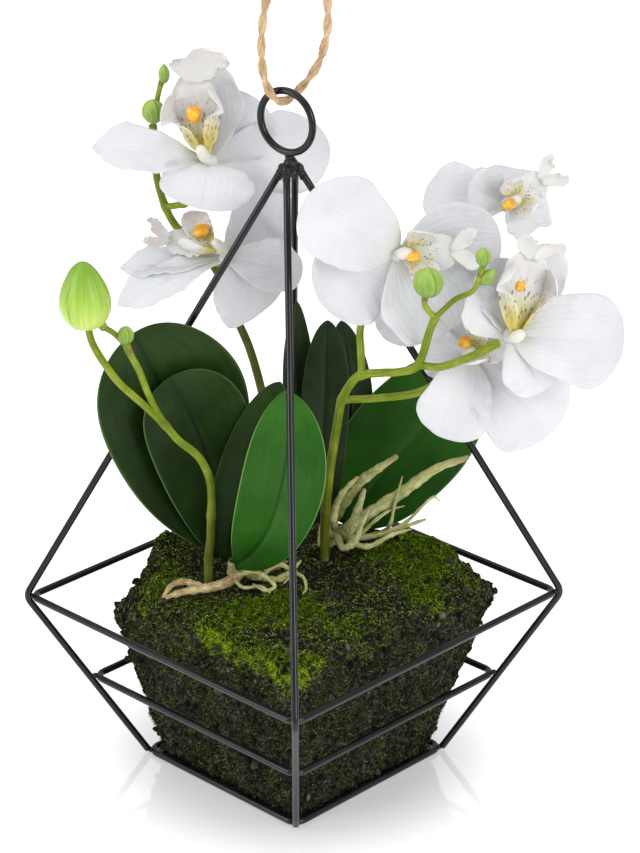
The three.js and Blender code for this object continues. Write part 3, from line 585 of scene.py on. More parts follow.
# %% The tray's finish
gloss = Finish("black_tray", Specular_IOR_Level=0.4, Coat_Weight=0.1)
dust = gloss.mottle(90.0, 4.0)
gloss.set(Base_Color=gloss.ramp(dust, (0.4, (0.008, 0.008, 0.009)), (0.75, (0.030, 0.026, 0.020))),
          Roughness=0.16 + 0.3 * dust)
gloss.bump(dust, 0.0001, 0.3)
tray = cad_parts["base_tray"]
tray.data.materials.clear()
tray.data.materials.append(gloss.material)

# %% [markdown]
# ## Stems, side stems and small buds
# A flower spike is a green stem with a swollen joint wherever a side stem leaves it, and a thin brownish ring
# round the joint where a little scale once sat. The stem's line is the solid's own. The swelling and the ring
# both come from one measure, how near a station is to a joint, which is also kept as a mark for the finish.

# %% The stem's finish
def stem_finish(name, low, high):
    """A green stem with painted shade on its lower part: darker and browner below one height than above
    another.
    """
    stem = Finish(name, Roughness=0.4, Specular_IOR_Level=0.15)
    streaks = stem.cloud(stem.stretched(6.0, 14.0), 2.0, 4.0)
    tone = streaks * 0.5 + stem.mottle(60.0, 3.0) * 0.5
    green = stem.ramp(tone, (0.34, (0.075, 0.120, 0.004)), (0.5, (0.18, 0.25, 0.012)),
                      (0.64, (0.37, 0.44, 0.050)))
    olive = stem.ramp(tone, (0.34, (0.034, 0.038, 0.003)), (0.5, (0.085, 0.100, 0.007)),
                      (0.64, (0.20, 0.22, 0.030)))
    height = stem.node("ShaderNodeSeparateXYZ", inputs={"Vector": stem.place()}, out=2)
    brown = stem.ramp(streaks, (0.3, (0.11, 0.070, 0.020)), (0.7, (0.28, 0.22, 0.07)))
    # Below the low height the stem takes the olive, which is painted shade on the lower stem.
    body = stem.blend(height.fade(low, high), olive, green)
    stem.set(Base_Color=stem.blend(stem.mark(2).fade(0.6, 0.95) * 0.8, body, brown))
    stem.bump(streaks, 0.0007, 0.6)
    return stem


STEM_FINISHES = {name: stem_finish(f"{name}_stem", low, high) for name, low, high in
                 (("back", 0.200, 0.232), ("right", 0.070, 0.170), ("front", 0.080, 0.150))}

# %% The small buds' finish
green_bud = Finish("green_bud", Roughness=0.42, Specular_IOR_Level=0.35)
bud_seams = ((green_bud.mark(1) - 0.5).absolute() * -1.0).fade(-0.025, 0.0)
bud_cloud = green_bud.cloud(green_bud.stretched(1.5, 9.0), 2.0, 4.0)
bud_green = green_bud.ramp(bud_cloud * 0.6 + green_bud.mark(0) * 0.4, (0.3, (0.13, 0.21, 0.035)),
                           (0.52, (0.24, 0.38, 0.060)), (0.75, (0.36, 0.52, 0.10)))
green_bud.set(Base_Color=green_bud.blend(bud_seams * 0.6, bud_green, (0.10, 0.16, 0.025)))
green_bud.bump(bud_seams * -1.0 + bud_cloud * 0.6, 0.0006, 0.5)

# %% Where the spikes run
SPIKES = {
    "back": {
        "root": [-9, -19], "radius": 2.3,
        "main": [[-9, -19, 100], [-9.5, -19, 122], [-10.5, -20, 144.3], [-13, -21, 162], [-17.7, -23, 180],
            [-22.8, -26, 192], [-27.8, -29, 205], [-33.9, -30.5, 217], [-42, -31, 226],
            [-48.1, -31.5, 232.5], [-52.1, -31.5, 241], [-55, -31, 252.8], [-56, -31, 265.8],
            [-56.2, -30.5, 276]],
        "branches": [
            ([[-52.1, -31, 240.6], [-46.6, -28, 242.5], [-42.3, -25.5, 244.8], [-37, -23, 257],
              [-34.6, -21.2, 261]], 1.7),
            ([[-33.9, -30.5, 217], [-30, -24, 218], [-27.7, -15.2, 223.3]], 1.7),
            ([[-56.2, -30.5, 275], [-54, -30.5, 288], [-51.3, -30.1, 298]], 1.3)],
        "buds": [([-55.8, -29.5, 282.5], 4.8, 1.05, 0.1, [0, 0, 1]),
            ([-51.1, -30.1, 298.3], 2.3, 1.8, 0.8, [0, 0, 1])]},
    "right": {
        "root": [13, -15], "radius": 2.4,
        "main": [[13.4, -15, 95], [13.4, -12, 105.7], [15.5, -4, 132.8], [18.7, 4, 159.3], [20.3, 8, 170.1],
            [24.3, 14, 180.6], [28.3, 17, 185], [36.2, 23, 188.4], [43.3, 28, 190.9], [50.2, 34.1, 196.4],
            [54.3, 46.1, 216.4], [56, 50.1, 223.1]],
        "branches": [
            ([[28.3, 17, 185], [27.8, 17, 196], [27.8, 17, 207], [33, 17, 222], [38.6, 20.5, 234],
              [40.3, 24.2, 239]], 1.9),
            ([[29.6, 17, 214], [43.7, 8, 230.6], [64, 2, 241.1], [79.9, 2.5, 249.6], [84.4, 6.1, 252.9]],
              1.7),
            ([[20.3, 8, 170.1], [35.9, 8, 170.8], [52.3, 9, 173.8], [64, 15, 184.7], [70.1, 25.6, 195.9]],
              2),
            ([[50.2, 34.1, 196.4], [58.7, 41, 198.4], [66.3, 47, 203.5], [74, 50.1, 208.4],
              [81, 48.6, 211.6]], 1.9),
            ([[56, 50.1, 223.1], [51.9, 52.1, 229.4], [52.5, 53.5, 236.5]], 1.4),
            ([[56, 50.1, 223.1], [63.6, 52.1, 231.5], [70.8, 54.1, 236.4], [74.1, 56, 247]], 1.3)],
        "buds": [([53, 54, 239.5], 6, 1.02, 0.1, [0, 0, 1]), ([74.1, 56, 250.8], 3, 1.3, 0.5, [0, 0, 1]),
            ([76.1, 55, 242.1], 2.7, 1.5, 0.8, [0.6, 0, 0.8])]},
    "front": {
        "root": [-36, 5.4], "radius": 2.2,
        "main": [[-36, 5.6, 96], [-34.9, 8, 106.4], [-34.4, 11, 117.2], [-33.9, 15, 128.3],
            [-34.3, 20, 139.8], [-36.5, 24, 148.5], [-40, 27, 155.2], [-46.6, 29.9, 162.5],
            [-51.7, 31.9, 170.1], [-59, 34, 179], [-69, 38, 191], [-75, 40, 201], [-79, 42, 210],
            [-80.5, 42, 216.4]],
        "branches": [
            ([[-51.7, 31.9, 170.1], [-57, 34, 182], [-61, 36, 195], [-65, 38, 205], [-66, 38, 209]], 1.7),
            ([[-65, 38, 206], [-70, 38, 212], [-74, 38, 215]], 1.4)],
        "buds": [([-66, 38.5, 212], 3.3, 1.15, 0.1, [0, 0, 1]), ([-75, 38, 216], 1.7, 1.4, 0.6, [0, 0, 1])]}}
STEM_FOOT = 78
STEM_SIDES = 14
SLIMMER = 0.82
BARE_JOINTS = [[13.7, -10, 112], [-10, -19.5, 133], [-34.4, 12, 120]]


# %% Building the spikes
def stalk(line, radius, joints):
    """A stem whose stations swell and darken near its joints."""
    apart = np.min([np.linalg.norm(line - joint, axis=1) for joint in joints], axis=0)
    swell = 1 + 0.2 * np.exp(-(apart / 1.9) ** 2)
    wander = np.array([1 + 0.05 * ripple(p, 0.12) for p in line])
    ring = np.pad(np.exp(-((apart - 1.2) / 0.7) ** 2), 3, mode="edge")
    return rod(*round_ends(line, radius * swell * wander, 0.5), STEM_SIDES, kind=ring)


for name, spike in SPIKES.items():
    shape = Shape()
    joints = places([path[0] for path, _ in spike["branches"]] + BARE_JOINTS)
    line = spline(places([[*spike["root"], STEM_FOOT], *spike["main"]]), 9 * len(spike["main"]))
    shape.add(stalk(line, SLIMMER * spike["radius"] * (1.05 - 0.25 * np.linspace(0, 1, len(line))), joints))
    for path, radius in spike["branches"]:
        line = spline(places(path), 10 * len(path))
        share = np.linspace(0, 1, len(line))
        ends = places([path[0], path[-1]]) - [[0, 0, 0], [0, 0, 4]]
        shape.add(stalk(line, SLIMMER * radius * (1 + 0.16 * share ** 8), ends))
    for place, radius, stretch, point, along in spike["buds"]:
        shape.add(ball(at(*place), radius, at(*along), stretch, point, 18, 26, 0.006), 1)
    shape.piece(f"spike_{name}", [STEM_FINISHES[name], green_bud], "stem", f"flower_spike_{name}")
print("spikes:", ", ".join(SPIKES))

# %% [markdown]
# ## The big bud
# At the end of the front spike hangs a bud the size of a small olive, close to opening. Three sepals meet in
# seams that run up to its point, and soft ribs lie between them. It is a ball whose width is worked out from
# the height and the angle, with the seams pressed in.

# %% The big bud's finish and shape
lime = Finish("lime_bud", Roughness=0.4, Specular_IOR_Level=0.4)
lime_lines = lime.cloud(lime.stretched(0.8, 16.0), 2.0, 4.0)
lime_height = lime.mark(0)
lime_body = lime.ramp(lime_lines * 0.45 + (1 - lime_height) * 0.4 + lime.mottle(60.0) * 0.15,
                      (0.28, (0.17, 0.34, 0.025)), (0.50, (0.32, 0.50, 0.060)), (0.72, (0.55, 0.68, 0.16)))
lime.set(Base_Color=lime.blend(lime.mark(2) * 0.8, lime_body, (0.14, 0.27, 0.020)))
lime.bump(lime_lines, 0.0004, 0.3)

BUD_FOOT, BUD_RADIUS, BUD_HEIGHT = at(-81, 42, 217.2), 10.6, 27
BUD_AXIS = unit(at(-0.04, 0, 1))
SEAM_WIDTH = 0.022


def big_bud(rings, sides):
    side = unit(np.cross(BUD_AXIS, [0.3, 1, 0]))
    other = np.cross(BUD_AXIS, side)
    points, marks = [], []
    for i in range(rings + 1):
        polar = math.pi * i / rings
        share = (1 - math.cos(polar)) / 2
        high = BUD_HEIGHT * (share + 0.3 * max(0, share - 0.8))
        for k in range(sides):
            angle = 2 * math.pi * k / sides
            from_seam = (angle * 3 / (2 * math.pi) + 0.50 + 0.12 * share) % 1 - 0.5
            seam = math.exp(-(from_seam / SEAM_WIDTH) ** 2)
            rib = 1 + 0.012 * math.cos(6 * angle) - 0.05 * seam
            wide = max(math.sin(polar), 0.01) * BUD_RADIUS * rib * (1.12 - 0.34 * share)
            out = math.cos(angle) * side + math.sin(angle) * other
            points.append(BUD_FOOT + out * wide + BUD_AXIS * max(high - 1.2, 0.2))
            marks.append([share, k / sides, seam])
    return outward(np.array(points), np.array(marks), tube_faces(rings + 1, sides))


Shape().add(big_bud(36, 72)).piece("olive_bud", [lime], "bud", "big_bud")
print("bud", BUD_HEIGHT, "mm tall")

# %% [markdown]
# ## Blades: one shape for leaves and petals
# A leaf and a petal are the same idea: a thin sheet grown along a midrib. It is narrow at its neck, widest at
# its belly and round at its tip. It folds up from the midrib, cups, and its edge waves. The sheet is closed,
# with an upper and an under side that draw together toward the edge, so it has a real thickness.

# %% The blade
def blade(midrib, face, face_tip=None, width=20.0, belly=1.2, rounding=0.5, neck=3.0, fold=0.0, cup=0.0,
          wave=0.0, waves=2.5, thick=0.8, rows=30, columns=16, crease=0.0, ruffle=0.0, uneven=0.0,
          seed=0.0, kind=0.0):
    """A closed sheet along the line through four places, with its upper side toward face."""
    a, b, c, d = (np.asarray(p, float) for p in midrib)
    first, second = (-5 * a + 18 * b - 9 * c + 2 * d) / 6, (2 * a - 9 * b + 18 * c - 5 * d) / 6
    face = np.asarray(face, float)
    face_tip = face if face_tip is None else np.asarray(face_tip, float)
    x = np.linspace(-1, 1, columns + 1)
    upper, under, marks = [], [], []
    for u in 1 - (1 - np.linspace(0, 1, rows + 1)) ** 1.5:
        v = 1 - u
        spine = v ** 3 * a + 3 * v * v * u * first + 3 * v * u * u * second + u ** 3 * d
        along = unit(v * v * (first - a) + 2 * v * u * (second - first) + u * u * (d - second))
        up = face * v + face_tip * u
        up = unit(up - along * up.dot(along))
        aside = np.cross(along, up)
        outline = max(0.0, 1 - (2 * u ** belly - 1) ** 2) ** rounding
        half = max(width / 2 * outline, neck * v, 0.6)
        left, right = (math.sin(2 * math.pi * turns) for turns in (1.3 * u + seed, 1.8 * u + 2.3 * seed))
        half = half * (1 + uneven * np.where(x < 0, left, right) * np.abs(x))
        tilt = math.radians(fold) * (1 - 0.5 * u)
        lift = np.abs(x) * half * math.sin(tilt) + cup * half * x * x
        lift += wave * np.abs(x) ** 3 * np.sin(2 * math.pi * waves * u + 2 * x) * outline
        lift += ruffle * np.abs(x) ** 4 * np.sin(2 * math.pi * (waves * 2.7 * u + seed) + 3 * x) * outline
        lift -= crease * np.exp(-(x * half / 1.1) ** 2) * min(1, 6 * v)
        body = thick / 2 * np.sqrt(1 - 0.88 * np.minimum(np.abs(x) ** 4, 1)) * (1 - 0.6 * u ** 6)
        flat = spine + np.outer(x * half * math.cos(tilt), aside)
        upper.append(flat + np.outer(lift + body, up))
        under.append(flat + np.outer(lift - body, up))
        marks.append(np.stack([np.full_like(x, u), x, np.full_like(x, kind)], axis=1))
    points = np.vstack([np.vstack(upper), np.vstack(under)])
    marks = np.vstack([np.vstack(marks)] * 2)
    wide, half_count = columns + 1, (rows + 1) * (columns + 1)
    faces = mesh_grid(rows + 1, wide)
    faces += [[corner + half_count for corner in face[::-1]] for face in faces]
    rim = [i * wide for i in range(rows)] + [rows * wide + j for j in range(columns)]
    rim += [i * wide + columns for i in range(rows, 0, -1)] + list(range(columns, 0, -1))
    for here, there in zip(rim, rim[1:] + rim[:1]):
        faces.append([here, there, there + half_count, here + half_count])
    return outward(points, marks, faces)


print("blade ready")

# %% [markdown]
# ## Leaves
# Moth orchid leaves are thick, stiff and satin. Their veins run lengthwise and hardly show, the midrib is a
# pressed crease, and the young edge is paler. The plant has old dark leaves, one young bright one in front
# and greyer ones behind, so one recipe makes the finish with other greens for each. The middle left leaf
# wears the dark old finish as painted shade.

# %% The leaves' finishes
def leaf_finish(name, dark, middle, light, edge, rib, gloss):
    leaf = Finish(name, Specular_IOR_Level=0.12)
    along, across = leaf.mark(0), leaf.mark(1)
    veins = (across * 34.0 + leaf.cloud(leaf.stretched(1.5, 2.0), 2.0) * 4.0).sine()
    tone = leaf.mottle(28.0, 3.0) * 0.7 + leaf.cloud(leaf.stretched(2.0, 12.0), 2.0, 3.0) * 0.3
    colour = leaf.ramp(tone + along * 0.12, (0.34, dark), (0.52, middle), (0.74, light))
    crease = 1 - across.absolute().fade(0.0, 0.06)
    margin = across.absolute().fade(0.965, 0.995)
    colour = leaf.blend(crease * 0.65, colour, rib)
    leaf.set(Base_Color=leaf.blend(margin, colour, edge), Roughness=gloss + 0.10 * tone)
    leaf.bump(veins * 0.3 + crease * -1.5 + leaf.mottle(350.0) * 0.5, 0.00016, 0.25)
    return leaf


LEAF_FINISHES = {
    "old": leaf_finish("old_leaf", (0.005, 0.012, 0.002), (0.010, 0.027, 0.004), (0.024, 0.055, 0.009),
                       (0.07, 0.14, 0.03), (0.004, 0.014, 0.003), 0.36),
    "young": leaf_finish("young_leaf", (0.007, 0.045, 0.003), (0.016, 0.084, 0.006), (0.034, 0.132, 0.012),
                         (0.17, 0.32, 0.07), (0.006, 0.045, 0.005), 0.38),
    "grey": leaf_finish("grey_leaf", (0.008, 0.018, 0.006), (0.018, 0.036, 0.012), (0.040, 0.068, 0.026),
                        (0.06, 0.09, 0.04), (0.006, 0.014, 0.005), 0.38),
    "wide": leaf_finish("wide_leaf", (0.007, 0.038, 0.003), (0.013, 0.068, 0.005), (0.025, 0.105, 0.010),
                        (0.09, 0.20, 0.04), (0.04, 0.14, 0.025), 0.38)}

# %% Growing the leaves
LEAVES = {
    "big_left": ("old", dict(
        midrib=[[-27.2, -8.3, 93], [-41.5, -2.6, 134], [-51.5, 8, 170.5], [-65, 14, 202.5]], width=65,
        face=[0.45, 0.75, 0.3], face_tip=[0.15, 1, 0.35], fold=12, belly=1.35, rounding=0.47)),
    "inner_left": ("old", dict(
        midrib=[[-30.6, -1.4, 94], [-34, 4, 135], [-42, 12, 165], [-50, 17, 184.5]], width=46,
        face=[0.3, 0.9, 0.2], face_tip=[0.3, 1, 0.2], fold=9, belly=1.15, rounding=0.5)),
    # The middle left leaf takes the dark old finish as painted shade, because it faces down and away from the
    # light.
    "middle_left": ("old", dict(
        midrib=[[-27.6, 2.4, 94], [-23, 5.5, 119], [-15, 8, 149], [-5, 6, 177.4]], width=26,
        face=[-0.15, 1, 0.1], fold=3, belly=1, rounding=0.6)),
    "front": ("young", dict(
        midrib=[[-25, 5.6, 94], [-10.5, 27, 121], [-3, 34, 155], [-3, 28, 183]], width=35,
        face=[0, 1, 0.2], fold=14, belly=1.15, rounding=0.72)),
    "back_narrow": ("grey", dict(
        midrib=[[8, -33, 95], [4, -38, 125], [2, -36, 160], [2, -34, 197]], width=17,
        face=[0.5, 1, 0.2], face_tip=[0.7, 1, 0.2], fold=14, belly=1.1, rounding=0.6, neck=2.6)),
    "back_middle": ("grey", dict(
        midrib=[[12, -27, 97], [12.6, -28, 125], [14, -29, 160], [15, -31, 189.5]], width=21,
        face=[0, 1, 0.1], fold=12, belly=1.1, rounding=0.6, neck=2.6)),
    "back_right": ("grey", dict(
        midrib=[[17, -36.8, 97], [24, -43.5, 125], [25, -46, 155], [21, -44, 184]], width=20,
        face=[-0.2, 1, 0.1], fold=14, belly=1.1, rounding=0.6, neck=2.6)),
    "big_right": ("wide", dict(
        midrib=[[21.8, -32, 94], [38, -33, 118], [57, -32, 143], [77, -27, 172]], width=51,
        face=[-0.1, 0.9, 0.4], fold=8, belly=1.1, rounding=0.5))}
for name, (finish, spec) in LEAVES.items():
    spec = {"neck": 3.4, **spec, "midrib": places(spec["midrib"]), "face": at(*spec["face"])}
    if "face_tip" in spec:
        spec["face_tip"] = at(*spec["face_tip"])
    leaf = Shape().add(blade(**spec, thick=1.4, rows=48, columns=32, crease=0.7, wave=0.6, waves=1.3,
                             uneven=0.015))
    leaf.piece(f"grown_leaf_{name}", [LEAF_FINISHES[finish]], "leaf", f"leaf_{name}")
print("leaves:", len(LEAVES))

# %% [markdown]
# ## Petals
# A petal is a blade that is cupped a little and waved at its edge. The white is never plain: fine veins fan
# out from the hub, the base is faintly green and the hollows are a cool lavender grey. A little light passes
# through the sheet as well, which subsurface scattering gives cheaply.

# %% The petals' finish
white = Finish("white_petal", Roughness=0.6, Specular_IOR_Level=0.2, Subsurface_Weight=0.2,
               Subsurface_Scale=0.004, Subsurface_Radius=(1.0, 1.0, 1.0))
along, across = white.mark(0), white.mark(1)
veins = (across * 40.0 + white.cloud(white.stretched(3.0, 3.0), 2.0, 3.0) * 9.0).sine()
tissue = white.cloud(white.stretched(4.0, 14.0), 2.0, 3.0)
petal_tone = white.mottle(45.0, 2.0)
petal_colour = white.ramp(petal_tone * 0.7 + tissue * 0.3, (0.34, (0.580, 0.588, 0.615)),
                          (0.62, (0.675, 0.682, 0.70)))
petal_base = 1 - along.fade(0.02, 0.30)
petal_colour = white.blend(petal_base * 0.45, petal_colour, (0.62, 0.63, 0.46))
petal_colour = white.blend(veins.fade(0.5, 1.0) * 0.06, petal_colour, (0.55, 0.54, 0.62))
white.set(Base_Color=petal_colour)
white.bump(veins * 0.3 + tissue * 0.8 + white.mottle(700.0, 2.0) * 0.3, 0.0004, 0.4)

# %% The lips' finishes
cream = Finish("cream_lip", Roughness=0.5, Specular_IOR_Level=0.25, Subsurface_Weight=0.2,
               Subsurface_Scale=0.003)
lip_along, lip_across, lip_kind = cream.mark(0), cream.mark(1), cream.mark(2)
specks = cream.cells(cream.stretched(8.0, 5.0, 3.0), 1.4)
near_throat = 1 - lip_along.fade(0.45, 0.75)
speckle = (1 - specks.fade(0.22, 0.36)) * near_throat * lip_along.fade(0.05, 0.15)
stripes = (lip_across * 17.0 + cream.cloud(cream.stretched(5.0, 4.0), 2.0) * 6.0).sine().fade(0.5, 0.9)
stripes = stripes * (1 - lip_along.fade(0.22, 0.42)) * lip_along.fade(0.06, 0.16)
whiteness = lip_along + (lip_kind - 1).fade(0.2, 0.8) + cream.mottle(120.0) * 0.2
lip_colour = cream.ramp(whiteness, (0.22, (0.58, 0.50, 0.12)),
                        (0.40, (0.66, 0.64, 0.40)), (0.60, (0.65, 0.65, 0.63)))
printed = 1 - (lip_kind - 1).absolute().fade(0.1, 0.5)
lip_colour = cream.blend((speckle * 0.75 + stripes * 0.2) * printed, lip_colour, (0.17, 0.035, 0.015))
cream.set(Base_Color=lip_colour)
cream.bump(cream.mottle(500.0, 3.0), 0.0005, 0.4)

orange = Finish("orange_callus", Roughness=0.4, Specular_IOR_Level=0.4)
callus_tone = orange.mottle(300.0, 3.0)
orange.set(Base_Color=orange.ramp(callus_tone, (0.35, (0.72, 0.26, 0.010)), (0.52, (0.85, 0.42, 0.020)),
                                  (0.68, (0.90, 0.60, 0.09))))
orange.bump(callus_tone, 0.0008, 0.5)

pale = Finish("pale_column", Roughness=0.5, Specular_IOR_Level=0.3, Subsurface_Weight=0.2,
              Subsurface_Scale=0.003)
column_tone = pale.mottle(250.0, 3.0)
pale.set(Base_Color=pale.ramp(column_tone + pale.mark(0) * 0.2, (0.4, (0.64, 0.60, 0.44)),
                              (0.6, (0.70, 0.69, 0.62)), (0.8, (0.70, 0.67, 0.60))))
pale.bump(column_tone, 0.0004, 0.4)

# %% Where the blooms are
BLOOMS = {
    "top_left": {
        "hub": [-32.9, -20, 264], "out": [-0.3, 0.7, 0.6], "lip": [-0.15, -0.35, 0.8], "size": 1.3,
        "callus": [0.7, 12, 11.5, 6.0, 3.2], "curls": [(-0.8, 18)],
        "petals": [([-47, 12, 10.5], 24, 2, [-0.1, 0.6, 0.8], 0.85),
            ([49, -9, 3], 35, -4, [0.1, 0.75, 0.6]), ([-3, 14, -15.5], 40, 4, [0.2, 0.6, 0.8]),
            ([19, -18, 21], 34, -5, [0.1, 0.9, 0.4]), ([-3, -19, 36], 30, -6, [-0.2, 0.9, 0.4])]},
    "low_left": {
        "hub": [-26.9, -12, 225.2], "out": [-0.35, 0.35, 0.87], "lip": [-0.6, 0.1, 0.35], "size": 1,
        "callus": [-7.0, 7.2, 11.0, 5.4, 3.8],
        "petals": [([-43.6, -2.1, -4.9], 17, 1, [-0.1, 0.4, 0.9], 0.75),
            ([-44.5, 10, -16.5], 19, 3, [-0.1, 0.55, 0.8], 0.8),
            ([14.5, -1, -24.5], 36, 2, [0.3, 0.85, 0.4]), ([26, -29, 17], 30, -3, [0.1, 1, 0.1]),
            ([31.2, -4, -9], 22, 3, [0.1, 0.8, 0.5])]},
    "middle": {
        "hub": [42.1, 28, 241.7], "out": [0.3, 0.88, 0.35], "lip": [1, -0.2, 0.05], "size": 1,
        "callus": [-1.7, 2.5, 10.5, 4.4, 2.2],
        "petals": [([-36.2, 8, 27], 37, 5, [0.15, 0.95, 0.1]), ([-31, 3, -19], 35, -2, [0.2, 0.95, 0.2]),
            ([41, -4, 5], 34, -2, [-0.1, 0.95, 0.3]), ([21, 2, -32], 40, 4, [0, 0.95, 0.3]),
            ([4, -10, -44], 26, -2, [-0.2, 0.95, 0.1])]},
    "top_right": {
        "hub": [86.8, 8.1, 254.7], "out": [0.3, 0.8, 0.5], "lip": [0.7, -0.1, 0.5], "size": 0.85,
        "callus": [0.5, -4.5, 10, 4.6, 2.6],
        "petals": [([-33, -10, 1], 27, 3, [-0.1, 0.7, 0.7]), ([4, -18, 9], 28, 4, [-0.1, 0.8, 0.6]),
            ([17, -16, -4], 24, 0, [-0.3, 0.8, 0.4]), ([9, 2, -12], 20, 3, [0.2, 0.6, 0.7]),
            ([-16, 4, 10], 22, -2, [0.1, 0.8, 0.5])]},
    "far_right": {
        "hub": [86, 44.1, 213], "out": [0.3, 0.9, 0.3], "lip": [0.3, -0.1, 1], "size": 1.25,
        "callus": [3.2, 16, 8.2, 4.4, 2.4],
        "petals": [([45, 2, -2], 38, 4, [0.1, 0.9, 0.4]), ([-17, 2, 18], 20, -2, [0.3, 0.8, 0.4]),
            ([18, -16, 32], 24, -3, [-0.2, 0.5, 0.8]), ([-5, -10, 29], 24, -3, [0.5, 0.7, 0.2]),
            ([14, 4, -22], 24, 3, [0.1, 0.95, 0.2])]},
    "low_right": {
        "hub": [71.4, 28.1, 198.4], "out": [-0.1, 0.85, 0.5], "lip": [0.95, 0.1, 0], "size": 0.9,
        "callus": [3.7, -2, 10.5, 4.2, 3.0],
        "petals": [([-9, 10, -33], 30, 3, [-0.1, 0.95, 0.1]), ([34, 6, -31], 40, 3, [0.1, 0.95, 0.2]),
            ([6, -6, 18], 26, -2, [0, 0.95, 0.3]), ([-20, -1, 0], 20, -2, [0, 0.95, 0.3]),
            ([28, -6, 3], 26, -3, [0, 0.9, 0.4])]}}
HUB = 3.2

# %% Growing the petals
for name, bloom in BLOOMS.items():
    base = at(*bloom["hub"])
    flower = Shape().add(ball(base, HUB, at(*bloom["out"]), rings=14, sides=20))
    for number, (tip, width, bend, face, *pointed) in enumerate(bloom["petals"]):
        up = unit(at(*face))
        midrib = [base + at(*tip) * share + up * (4 * share * (1 - share) * bend)
                  for share in (0, 1 / 3, 2 / 3, 1)]
        rounding = pointed[0] if pointed else 0.5
        flower.add(blade(midrib, up, width=width, belly=1.45, rounding=rounding, neck=2.4, cup=0.12, wave=1.0,
                         rows=34, columns=26, crease=0.35, ruffle=0.45, uneven=0.06, seed=0.37 * number,
                         kind=number))
    flower.piece(f"white_bloom_{name}", [white], "petal", f"bloom_{name}")
print("blooms:", len(BLOOMS))

# %% [markdown]
# ## Lips
# The sixth petal of a moth orchid is its lip. Two side lobes stand up beside the column, the middle lobe
# reaches forward and ends in two curling tendrils, and a waxy orange callus sits between them. The top left
# bloom has one broad curl in place of the tendrils. All of it is laid out in the bloom's own three
# directions: ahead, down along the lip, and aside.

# %% Building the lips
CALLUS, COLUMN = 1, 2
TENDRILS = [(-1, 7), (1, 7)]
for name, bloom in BLOOMS.items():
    base, size = at(*bloom["hub"]), bloom["size"]
    ahead, down = unit(at(*bloom["out"])), at(*bloom["lip"])
    down = unit(down - ahead * down.dot(ahead))
    aside = np.cross(ahead, down)

    def spot(x, y, z):
        return base + aside * (x * size) + down * (y * size) + ahead * (HUB + (z - HUB) * size)

    def way(x, y, z):
        return unit(spot(x, y, z) - base)

    made = Shape()
    column = spline([spot(0, -0.5, HUB + 0.4), spot(0, 0, 6.5), spot(0, 1, 9.5)], 14)
    made.add(rod(*round_ends(column, 2.0 + 0.5 * np.sin(np.pi * np.linspace(0, 1, 15)), 0.7), 20), COLUMN)
    x, y, z, length, breadth = bloom["callus"]
    for lobe in (-1, 1):
        made.add(ball(spot(x + lobe * 0.24 * breadth, y, z), breadth * 0.62, down + aside * 0.12 * lobe,
                      length / breadth, rings=14, sides=18), CALLUS)
    x, y = 0.75 * x, 0.75 * y
    middle_lobe = [spot(0, 0.5, 5.8), spot(x * 0.6, 6 + y * 0.3, 7.2), spot(x, 13 + y * 0.5, 9.5),
                   spot(x, 20 + y * 0.6, 13)]
    made.add(blade(middle_lobe, way(0, -0.3, 1), width=15 * size, belly=1.3, neck=3, cup=-0.12, rows=26,
                   columns=22, crease=0.5, ruffle=0.6, wave=0.8, kind=1.0))
    for side in (-1, 1):
        side_lobe = [spot(side * 1.5, 2, 6), spot(side * 5 + x * 0.5, 4.5 + y * 0.5, 8),
                     spot(side * 8.5 + x, 5 + y, 12), spot(side * 8.5 + x, 4 + y, 17)]
        made.add(blade(side_lobe, way(-side, -0.4, 0.4), width=12 * size, belly=1.3, neck=2.5, cup=0.2,
                       rows=24, columns=18, ruffle=0.35, kind=1.0))
    for side, broad in bloom.get("curls", TENDRILS):
        curl = [spot(side * 0.8 + x, 17 + y * 0.6, 12.2), spot(side * 3 + x, 21 + y * 0.6, 14),
                spot(side * 5 + x, 24 + y * 0.5, 16.5), spot(side * 4.5 + x, 25 + y * 0.5, 20)]
        made.add(blade(curl, way(0, -0.5, 1), width=broad * size, belly=1.3, neck=broad * 0.2, cup=0.25,
                       rows=22, columns=20, ruffle=0.07 * broad, uneven=0.012 * broad, thick=0.6, kind=2.0))
    made.piece(f"speckled_lip_{name}", [cream, orange, pale], "lip", f"lip_{name}")
print("lips:", len(BLOOMS))

# %% [markdown]
# ## Crowns and aerial roots
# Each plant has a short crown from which fleshy aerial roots wander over the moss and rise beside the
# leaves. They are grey-green and a little wrinkled, with a pinkish brown growing tip. The two that reach
# furthest left have dried to tan.

# %% The roots' finish
root_skin = Finish("aerial_root", Roughness=0.6, Specular_IOR_Level=0.3)
wrinkle = root_skin.cloud(root_skin.stretched(9.0, 5.0), 2.5, 5.0)
patch = root_skin.mottle(90.0, 4.0)
tip_share = root_skin.mark(0).fade(0.84, 1.0) * 0.7
skin_tone = wrinkle * 0.5 + patch * 0.5
skin = root_skin.ramp(skin_tone, (0.34, (0.20, 0.21, 0.055)), (0.48, (0.44, 0.45, 0.17)),
                      (0.62, (0.66, 0.65, 0.34)))
dried_skin = root_skin.ramp(skin_tone, (0.40, (0.24, 0.13, 0.060)), (0.50, (0.50, 0.39, 0.19)),
                            (0.58, (0.72, 0.62, 0.33)))
tip_skin = root_skin.ramp(patch, (0.35, (0.26, 0.11, 0.07)), (0.65, (0.50, 0.30, 0.20)))
skin = root_skin.blend(root_skin.mark(2), skin, dried_skin)
root_skin.set(Base_Color=root_skin.blend(tip_share, skin, tip_skin))
root_skin.bump(wrinkle + patch * 0.6, 0.0009, 0.6)

